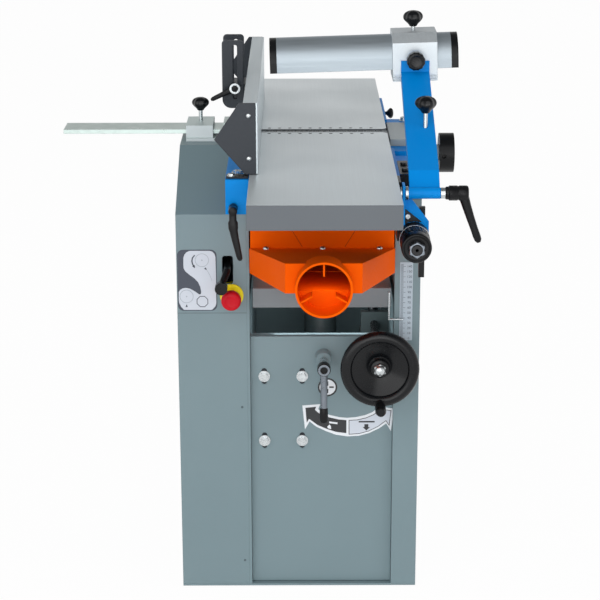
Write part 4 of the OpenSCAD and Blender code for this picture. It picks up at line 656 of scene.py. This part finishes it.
# bright washers on the arm pin and the tilt handle, and the pivot drum's pale ring: place, radius, length, bore
brightRings = {
    "armPinWashers": ("swing", zincSteel, (1, 0, 0), [((203.6, -430, 829), 9.7, 8.4, 6.02),
                                                      ((133.6, -430, 829), 10.4, 3.3, 0),
                                                      ((142.3, -430, 829), 12, 5.5, 10.05)]),
    "tiltHandleWasher": ("tilt_lever", zincSteel, (0, -1, 0), [((-165, -35.4, 940), 10.6, 1.4, 6.4)]),
    "drumPaleRing": ("swing", whiteInk, (0, 1, 0), [((159, -449, 749), 27.0, 1.6, 26.0)])}


def makeBrightRings(table, chamfer=0.5):
    for name, (body, material, axis, rings) in table.items():
        bm = bmesh.new()
        for place, radius, length, bore in rings:
            outer = [(radius - chamfer, 0), (radius, chamfer), (radius, length - chamfer), (radius - chamfer, length)]
            if bore:
                addLathe(bm, [(bore, 0)] + outer + [(bore, length)], place, axis, 40, None, True)
            else:
                addLathe(bm, [(0, 0)] + outer + [(0, length)], place, axis, 40)
        finishPiece(name, bm, material, body)


makeBrightRings(brightRings)
print("fasteners and washers set")

# lobed clamping knobs, each on a bright stud; drawn taller than their solids, as in the photograph
starShape = {"lobes": 6, "deep": 0.075, "from": 0.3, "rise": 0.3, "profile": [
    (0.32, 0), (0.4, 0.03), (0.46, 0.1), (0.6, 0.2), (0.8, 0.31), (0.94, 0.42), (1, 0.54), (0.98, 0.66), (0.9, 0.78),
    (0.75, 0.88), (0.52, 0.955), (0.26, 0.99), (0, 1)]}
starKnobs = {
    "armStopKnob": {"node": "arm_stop_knob", "body": "arm_knob", "radius": 20, "height": 22, "stud": 12, "deep": 6,
                    "tall": 31, "lift": 9, "axis": (0, 0, 1)},
    "guardTopKnob": {"node": "guard_clamp_knob", "body": "top_knob", "radius": 19, "height": 22, "stud": 12,
                     "deep": 4, "tall": 30, "lift": -5, "axis": (-0.0314108, 0, 0.9995066),
                     "seat": (174.8798, -60, 1056.4667)},
    "fenceStarKnob": {"node": "fence_star_knob", "body": "star_knob", "radius": 17, "height": 22, "stud": 20,
                      "deep": 4, "tall": 26, "lift": -1, "axis": (0, 0, 1)}}
studRadius = 3.9


def addStarKnob(bm, place, axis, radius, height):
    def lobes(turn, level):
        grown = min(1, max(0, (level - starShape["from"] * height) / (starShape["rise"] * height)))
        return (1 + starShape["deep"] * math.cos(starShape["lobes"] * turn) * grown) / (1 + starShape["deep"])
    addLathe(bm, [(r * radius, z * height) for r, z in starShape["profile"]], place, axis, 72, lobes)


def makeStarKnobs(table):
    for name, knob in table.items():
        low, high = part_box(knob["node"])
        axis, lift = Vector(knob["axis"]), knob["lift"]
        middle = (low + high) * 500
        top = Vector((middle.x, middle.y, high.z * 1000))
        if "seat" in knob:  # on the sloping carriage
            top = Vector(knob["seat"]) + axis * (knob["stud"] + knob["height"])
        foot = top - axis * (knob["height"] - lift)
        bm = bmesh.new()
        addStarKnob(bm, foot, axis, knob["radius"], knob["tall"])
        finishPiece(name, bm, blackPhenolic, knob["body"], (knob["node"],))
        bm = bmesh.new()
        addLathe(bm, [(studRadius, -knob["stud"] - knob["deep"] - lift), (studRadius, 2)], foot, axis, 24)
        finishPiece(name + "Stud", bm, zincSteel, knob["body"])


makeStarKnobs(starKnobs)

# small knob beside the outfeed table, on a stud through its blue plate
plateKnob = {"place": (140, 238, 837), "radius": 11, "height": 15, "studFrom": (135.9, 238, 837),
             "stud": [(3.5, 0), (3.5, 6)]}
bm = bmesh.new()
addStarKnob(bm, plateKnob["place"], (1, 0, 0), plateKnob["radius"], plateKnob["height"])
addLathe(bm, plateKnob["stud"], plateKnob["studFrom"], (1, 0, 0), 20)
finishPiece("outfeedPlateKnob", bm, blackNylon, "frame")

# ratchet clamp levers: round hub with a collar, tapered arm with a rounded end
clampLevers = {
    "armClampLever": {
        "node": "arm_clamp_lever", "body": "arm_lever", "hub": (212.5, -430, 829), "axis": (1, 0, 0), "radius": 13.2,
        "length": 40, "side": (0, 1, 0),
        "path": [(241, -430, 831), (244.5, -430, 822), (249.5, -430, 806), (256.5, -430, 785), (264, -430, 764),
                 (268.3, -430, 752), (271, -430, 745), (272.5, -430, 740.5)],
        "sizes": [(10.5, 9.6), (10.4, 9), (9.4, 8), (8.4, 7.2), (7.7, 6.6), (7.8, 6.8), (7, 6.2), (3.6, 3.4)]},
    "tableLockLever": {
        "node": "table_lock_lever", "body": "lock", "hub": (-158, -400.5, 798), "axis": (0, -1, 0), "radius": 8,
        "length": 38, "side": (1, 0, 0),
        "path": [(-158.2, -432, 801), (-158.1, -432.4, 791), (-158, -432.8, 782), (-158, -433, 778),
                 (-157.6, -433.3, 768), (-157, -433.5, 763), (-154.2, -434, 748), (-150.8, -434.4, 732),
                 (-147.8, -434.8, 718), (-146.2, -435, 712), (-145.5, -435, 709.5)],
        "sizes": [(6.8, 5.8), (6.5, 5.6), (6.5, 5.6), (8.6, 6.2), (8.6, 6.2), (7.4, 5.8), (6.6, 5.4), (6, 5.2),
                  (5.4, 4.8), (4.6, 4.2), (2.4, 2.4)]},
    "tiltHandle": {
        "node": "tilt_handle", "body": "tilt_lever", "hub": (-165, -15.5, 940), "axis": (0, -1, 0), "radius": 9,
        "length": 20, "side": (0.44, 0, -0.9),
        "path": [(-163, -30, 941), (-170, -30.4, 937.6), (-180, -30.6, 932.7), (-192, -30.6, 926.8),
                 (-202, -30.6, 922), (-208, -30.6, 919), (-211.5, -30.6, 917.4)],
        "sizes": [(7.6, 5), (7.0, 4.8), (5.6, 4.4), (4.6, 4.0), (4.4, 4.0), (4.0, 3.6), (2.2, 2.0)]}}
leverHub = [(0.8, 0), (0.86, 0.03), (0.86, 0.12), (1, 0.16), (1, 0.5), (0.93, 0.53), (0.93, 0.57), (1, 0.6), (1, 0.9),
            (0.92, 0.97), (0.7, 1), (0, 1)]  # shares of radius and length


def makeClampLevers(table):
    for name, lever in table.items():
        bm = bmesh.new()
        hub = [(r * lever["radius"], z * lever["length"]) for r, z in leverHub]
        addLathe(bm, hub, lever["hub"], lever["axis"], 40)
        addSweep(bm, lever["path"], lever["sizes"], lever["side"])
        finishPiece(name, bm, blackNylon, lever["body"], (lever["node"],))


makeClampLevers(clampLevers)

# pivot drum: smooth front, a groove, then a knurled grip
pivotDrum = {"place": (159, -505, 749), "knurls": 26, "knurlFrom": 31, "knurlTo": 54, "knurlDepth": 0.028,
             "profile": [(10.05, 0.4), (11, 0), (20.5, 0), (21.5, 1.4), (22.6, 0.4), (24.6, 0.8), (26, 2.6),
                         (26.5, 5), (26.5, 24), (24.8, 25), (24.8, 28.5), (26, 30), (26, 31), (25.9, 42),
                         (25.9, 54), (26.2, 55), (26.5, 56), (26.5, 83), (25.6, 84), (10.05, 84)]}


def makePivotDrum(drum):
    def knurl(turn, level):
        rough = drum["knurlFrom"] <= level <= drum["knurlTo"]
        return 1 + (drum["knurlDepth"] * math.cos(drum["knurls"] * turn) if rough else 0)
    bm = bmesh.new()
    addLathe(bm, drum["profile"], drum["place"], (0, 1, 0), 156, knurl, True)
    finishPiece("pivotDrum", bm, blackNylon, "swing", ("swing_drum",))


makePivotDrum(pivotDrum)

# feed lever: painted boss, bright shaft, black hub with a bright ring, burnished rod, black grip
feedLever = {
    "axis": (3, 469), "panel": -248, "reach": 84, "hubLength": 16, "rod": 106, "grip": 30,
    "bossProfile": [(15, 0.5), (15, 24.5), (13.5, 26), (0, 26)], "shaft": [(7, -60), (7, 70)],
    "crank": [(-192, 0), (-189, -30)], "crankSize": (6, 3), "ring": [(7.0, 0), (11, 0), (11, 1.2), (7.0, 1.2)],
    "hubProfile": [(11, -16), (12.4, -15), (12.4, -1), (11.6, 0), (7.5, 0), (7, -1.2), (0, -1.2)],
    "gripProfile": [(6.2, 0), (7.4, 2), (7.9, 10), (7.9, 24), (6.8, 28), (4, 30), (0, 30)],
    "rodProfile": [(7.2, 8), (7.4, 14), (6.6, 30), (6.2, 60), (6.2, 78)]}


def makeFeedLever(lever):
    x, z = lever["axis"]
    y = lever["panel"]
    front = y - lever["reach"]
    middle = front + lever["hubLength"] / 2
    outward, down = (0, -1, 0), (0, 0, -1)
    bm = bmesh.new()
    addLathe(bm, lever["bossProfile"], (x, y, z), outward, 40)
    finishPiece("feedLeverBoss", bm, greyEnamel, "lever", ("feed_lever",))
    bm = bmesh.new()
    addLathe(bm, lever["shaft"], (x, y, z), outward, 32)
    addSweep(bm, [(x, along, z + drop) for along, drop in lever["crank"]], [lever["crankSize"]] * 2, (1, 0, 0))
    finishPiece("feedLeverShaft", bm, zincSteel, "lever")
    bm = bmesh.new()
    addLathe(bm, lever["hubProfile"], (x, front, z), outward, 40)
    addLathe(bm, lever["gripProfile"], (x, middle, z - lever["rod"] + lever["grip"]), down, 36)
    finishPiece("feedLeverGrip", bm, blackNylon, "lever")
    bm = bmesh.new()
    addLathe(bm, lever["rodProfile"], (x, middle, z), down, 36)
    addLathe(bm, lever["ring"], (x, front, z), outward, 40, None, True)
    finishPiece("feedLeverRod", bm, leverSteel, "lever")


makeFeedLever(feedLever)

# stop button: mushroom cap with a shallow ring in its face
stopButton = {"place": (-168, -260, 593), "profile": [
    (9.5, -10), (9.5, 25), (15.6, 25.2), (17.6, 26.6), (18.4, 29), (18.5, 37), (18.1, 40.4), (16.8, 43), (14.4, 44.6),
    (11.4, 45), (10.4, 44.4), (9.6, 43.9), (6, 43.7), (0, 43.6)]}
bm = bmesh.new()
addLathe(bm, stopButton["profile"], stopButton["place"], (0, -1, 0), 56)
finishPiece("stopButtonCap", bm, redAbs, "stop", ("estop_button",))

# black clamp block on the infeed rail with two bolts
railClamp = {"outline": [(138, -320.4), (160.4, -320.4), (160.4, -209.6), (138, -209.6)], "low": 806.8,
             "height": 30.6, "edge": 1.5, "bolts": [(149.5, -292, 837.4), (149.5, -244, 837.4)], "boltRadius": 6.2,
             "boltHeight": 4.2}
bm = bmesh.new()
addPrism(bm, railClamp["outline"], (0, 0, railClamp["low"]), railClamp["height"], (1, 0, 0), (0, 1, 0))
finishPiece("railClampBlock", bm, blackNylon, "infeed", (), railClamp["edge"])
bm = bmesh.new()
for place in railClamp["bolts"]:
    addHexBolt(bm, place, (0, 0, 1), railClamp["boltRadius"], railClamp["boltHeight"])
finishPiece("railClampBolts", bm, oxideSteel, "infeed")

# slotted tilt links with rounded corners on their block, and the bright bolt between them
tiltLinks = {"left": -190, "right": -149, "low": 898, "high": 1030, "corner": 7, "bigCorner": 17, "edge": 0.6,
             "slotX": -165, "slotHalf": 4.2, "slotLow": 916, "slotHigh": 1021, "plates": [(-15, -10), (58, 63)],
             "block": (-176, -140, -10, 58, 915, 945), "screw": ((-144.5, -10, 936), (0, -1, 0), 4.2, 3)}


def makeTiltLinks(links):
    x0, x1, z0, z1 = links["left"], links["right"], links["low"], links["high"]
    small, big = links["corner"], links["bigCorner"]
    outer = []
    for cx, cz, corner, start in ((x1 - small, z0 + small, small, -90), (x1 - small, z1 - small, small, 0),
                                  (x0 + small, z1 - small, small, 90), (x0 + big, z0 + big, big, 180)):
        outer += quarterArc(cx, cz, corner, start)
    half, inner = links["slotHalf"], []
    low, high = links["slotLow"] + half, links["slotHigh"] - half
    for cz, start in ((low, -90), (high, 0), (high, 90), (low, 180)):
        inner += quarterArc(links["slotX"], cz, half, start)
    bm = bmesh.new()
    for near, far in links["plates"]:
        rows = [[bm.verts.new((x * mm, y * mm, z * mm)) for x, z in loop]
                for loop in (outer, inner) for y in (near, far)]
        for a, b in ((0, 1), (2, 3), (0, 2), (1, 3)):
            joinRings(bm, rows[a], rows[b])
    bx0, bx1, by0, by1, bz0, bz1 = links["block"]
    block = [(bx0, by0), (bx1, by0), (bx1, by1), (bx0, by1)]
    addPrism(bm, block, (0, 0, bz0), bz1 - bz0, (1, 0, 0), (0, 1, 0))
    finishPiece("tiltLinks", bm, darkEnamel, "fence_unit", ("fence_links",), links["edge"])
    bm = bmesh.new()
    addDome(bm, *links["screw"])
    finishPiece("tiltBlockScrew", bm, zincSteel, "fence_unit")


makeTiltLinks(tiltLinks)

# handwheel: broad rounded rim, dished web and hub, with its shaft and bevel behind the panel
handwheel = {"place": (106, 0, 472),
             "rim": [(52, 336.5), (53, 339), (55, 342.4), (59, 344), (65.5, 343.6), (70.4, 341), (73, 335.6),
                     (72.4, 329.4), (69, 325.2), (62, 323.6), (54, 324.6), (49, 328)],
             "face": [(0, 335), (15.4, 335), (17, 333.8), (17, 326), (20, 323.6), (36, 329)],
             "back": [(36, 325), (20, 319), (17, 316), (17, 310), (8, 310), (8, 40), (18, 28), (18, 24), (0, 24)]}
bm = bmesh.new()
addLathe(bm, handwheel["face"] + handwheel["rim"] + handwheel["back"], handwheel["place"], (0, -1, 0), 96)
finishPiece("handwheelDished", bm, blackPhenolic, "wheel", ("handwheel",))

# fluted knob in front of the guard carriage, bored for the carriage's pivot
frontKnob = {"place": (176.37, -113.5, 1008.99), "flutes": 12, "deep": 0.045, "from": 6, "to": 26,
             "profile": [(0, 24.3), (6.6, 24.3), (6.6, 0), (12.5, 0), (13.2, 1), (13.2, 5), (16.8, 6.5), (17.4, 8),
                         (17.4, 23), (16.8, 25.6), (15, 27.4), (12, 28), (11, 27.2), (9, 26.8), (0, 26.8)]}


def flute(turn, level):
    inside = frontKnob["from"] <= level <= frontKnob["to"]
    return 1 - (frontKnob["deep"] * (1 + math.cos(frontKnob["flutes"] * turn)) / 2 if inside else 0)


bm = bmesh.new()
addLathe(bm, frontKnob["profile"], frontKnob["place"], (0, -1, 0), 96, flute)
finishPiece("carriageKnob", bm, blackPhenolic, "front_knob", ("carriage_knob",))

# clamp plate and bolts on top of the left table bracket: bolts as place, axis, radius, height, washer
bracketPlate = {"outline": [(-170.5, -391), (-132, -391), (-132, -369), (-170.5, -369)], "low": 846, "thick": 3.8,
                "edge": 0.5, "bolt": ((-143.5, -385, 849.7), (0, 0, 1), 5.2, 2.6),
                "nut": ((-161.5, -384, 849.7), (0, 0, 1), 6.0, 3.2, 7.6)}
bm = bmesh.new()
addPrism(bm, bracketPlate["outline"], (0, 0, bracketPlate["low"]), bracketPlate["thick"], (1, 0, 0), (0, 1, 0))
addHexBolt(bm, *bracketPlate["bolt"])
finishPiece("leftBracketPlate", bm, oxideSteel, "infeed", (), bracketPlate["edge"])
bm = bmesh.new()
addHexBolt(bm, *bracketPlate["nut"])
finishPiece("leftBracketNut", bm, zincSteel, "infeed")
print("levers, knobs and buttons made")

# pale studio: white to the eye, and as light and in reflections pale at the horizon and darker overhead
studio = {
    "horizon": 0.95, "zenith": 0.26, "lightBand": (0.0, 0.9), "ceiling": 0.22, "mirrorBand": (0.1, 0.75),
    "floorColour": "#F4F4F4", "floorGlow": 0.97, "floorHalf": 30, "floorLow": -0.0005,
    # watts, size, place and aim in metres, and whether the lamp shows in reflections: the side lamp would
    # white out the tables from behind; the last two light the inside of the tunnel and of the dust port
    "lamps": {"frontSoftbox": (98, 4.6, (-1.2, -3.6, 2.3), (0, 0, 0.6), True),
              "sideSoftbox": (26, 1.8, (3.0, -1.8, 2.0), (0, 0, 0.7), False),
              "lowSoftbox": (12, 1.6, (0.2, -3.4, 0.5), (0, 0, 0.55), True),
              "tunnelLamp": (0.5, 0.18, (0, -0.235, 0.535), (0, 0.25, 0.5), True),
              "portLamp": (0.03, 0.04, (0, -0.476, 0.706), (0, -0.36, 0.655), True)}}
white = (1, 1, 1, 1)


def buildStudio(settings):
    world = bpy.data.worlds.new("paleStudio")
    scene.world = world
    world.use_nodes = True
    tree = world.node_tree
    tree.nodes.clear()
    path = addNode(tree, "ShaderNodeLightPath")
    way = addNode(tree, "ShaderNodeTexCoord")
    height = addNode(tree, "ShaderNodeSeparateXYZ", links={"Vector": way.outputs["Generated"]})
    ramps = []
    for (low, high), pale, dark in ((settings["lightBand"], settings["horizon"], settings["zenith"]),
                                    (settings["mirrorBand"], 1.0, settings["ceiling"])):
        ramps.append(addNode(tree, "ShaderNodeMapRange",
                             values={"From Min": low, "From Max": high, "To Min": pale, "To Max": dark},
                             links={"Value": height.outputs["Z"]}).outputs["Result"])
    unseen = addNode(tree, "ShaderNodeMix", {"data_type": "FLOAT"},
                     links={"Factor": path.outputs["Is Glossy Ray"], "A": ramps[0], "B": ramps[1]})
    strength = addNode(tree, "ShaderNodeMix", {"data_type": "FLOAT"}, {"B": 1.0},
                       {"Factor": path.outputs["Is Camera Ray"], "A": unseen.outputs["Result"]})
    glow = addNode(tree, "ShaderNodeBackground", values={"Color": white},
                   links={"Strength": strength.outputs["Result"]})
    addNode(tree, "ShaderNodeOutputWorld", links={"Surface": glow.outputs["Background"]})
    for name, (watts, size, place, aim, mirrored) in settings["lamps"].items():
        lamp = bpy.data.lights.new(name, "AREA")
        lamp.energy, lamp.size = watts, size
        holder = bpy.data.objects.new(name, lamp)
        scene.collection.objects.link(holder)
        holder.location = place
        holder.rotation_euler = (Vector(aim) - Vector(place)).to_track_quat("-Z", "Y").to_euler()
        holder.visible_glossy = mirrored
    # floor: glows white to the eye and in reflections, keeps the shadow under the base
    half, low = settings["floorHalf"], settings["floorLow"]
    floorMesh = bpy.data.meshes.new("studioFloor")
    floorMesh.from_pydata([(-half, -half, low), (half, -half, low), (half, half, low), (-half, half, low)],
                          [], [(0, 1, 2, 3)])
    floor = bpy.data.objects.new("studioFloor", floorMesh)
    scene.collection.objects.link(floor)
    material, tree, shader, place = startMaterial("paleStudioFloor", settings["floorColour"], 0, 0.8)
    path = addNode(tree, "ShaderNodeLightPath")
    seen = addNode(tree, "ShaderNodeMath", {"operation": "MAXIMUM"},
                   links={0: path.outputs["Is Camera Ray"], 1: path.outputs["Is Glossy Ray"]})
    share = addNode(tree, "ShaderNodeMath", {"operation": "MULTIPLY"}, {1: settings["floorGlow"]},
                    {0: seen.outputs["Value"]})
    glow = addNode(tree, "ShaderNodeEmission", values={"Color": white, "Strength": 1})
    both = addNode(tree, "ShaderNodeMixShader",
                   links={0: share.outputs["Value"], 1: shader.outputs["BSDF"], 2: glow.outputs["Emission"]})
    tree.links.new(both.outputs["Shader"], tree.nodes["Material Output"].inputs["Surface"])
    floorMesh.materials.append(material)


buildStudio(studio)
print("studio ready")
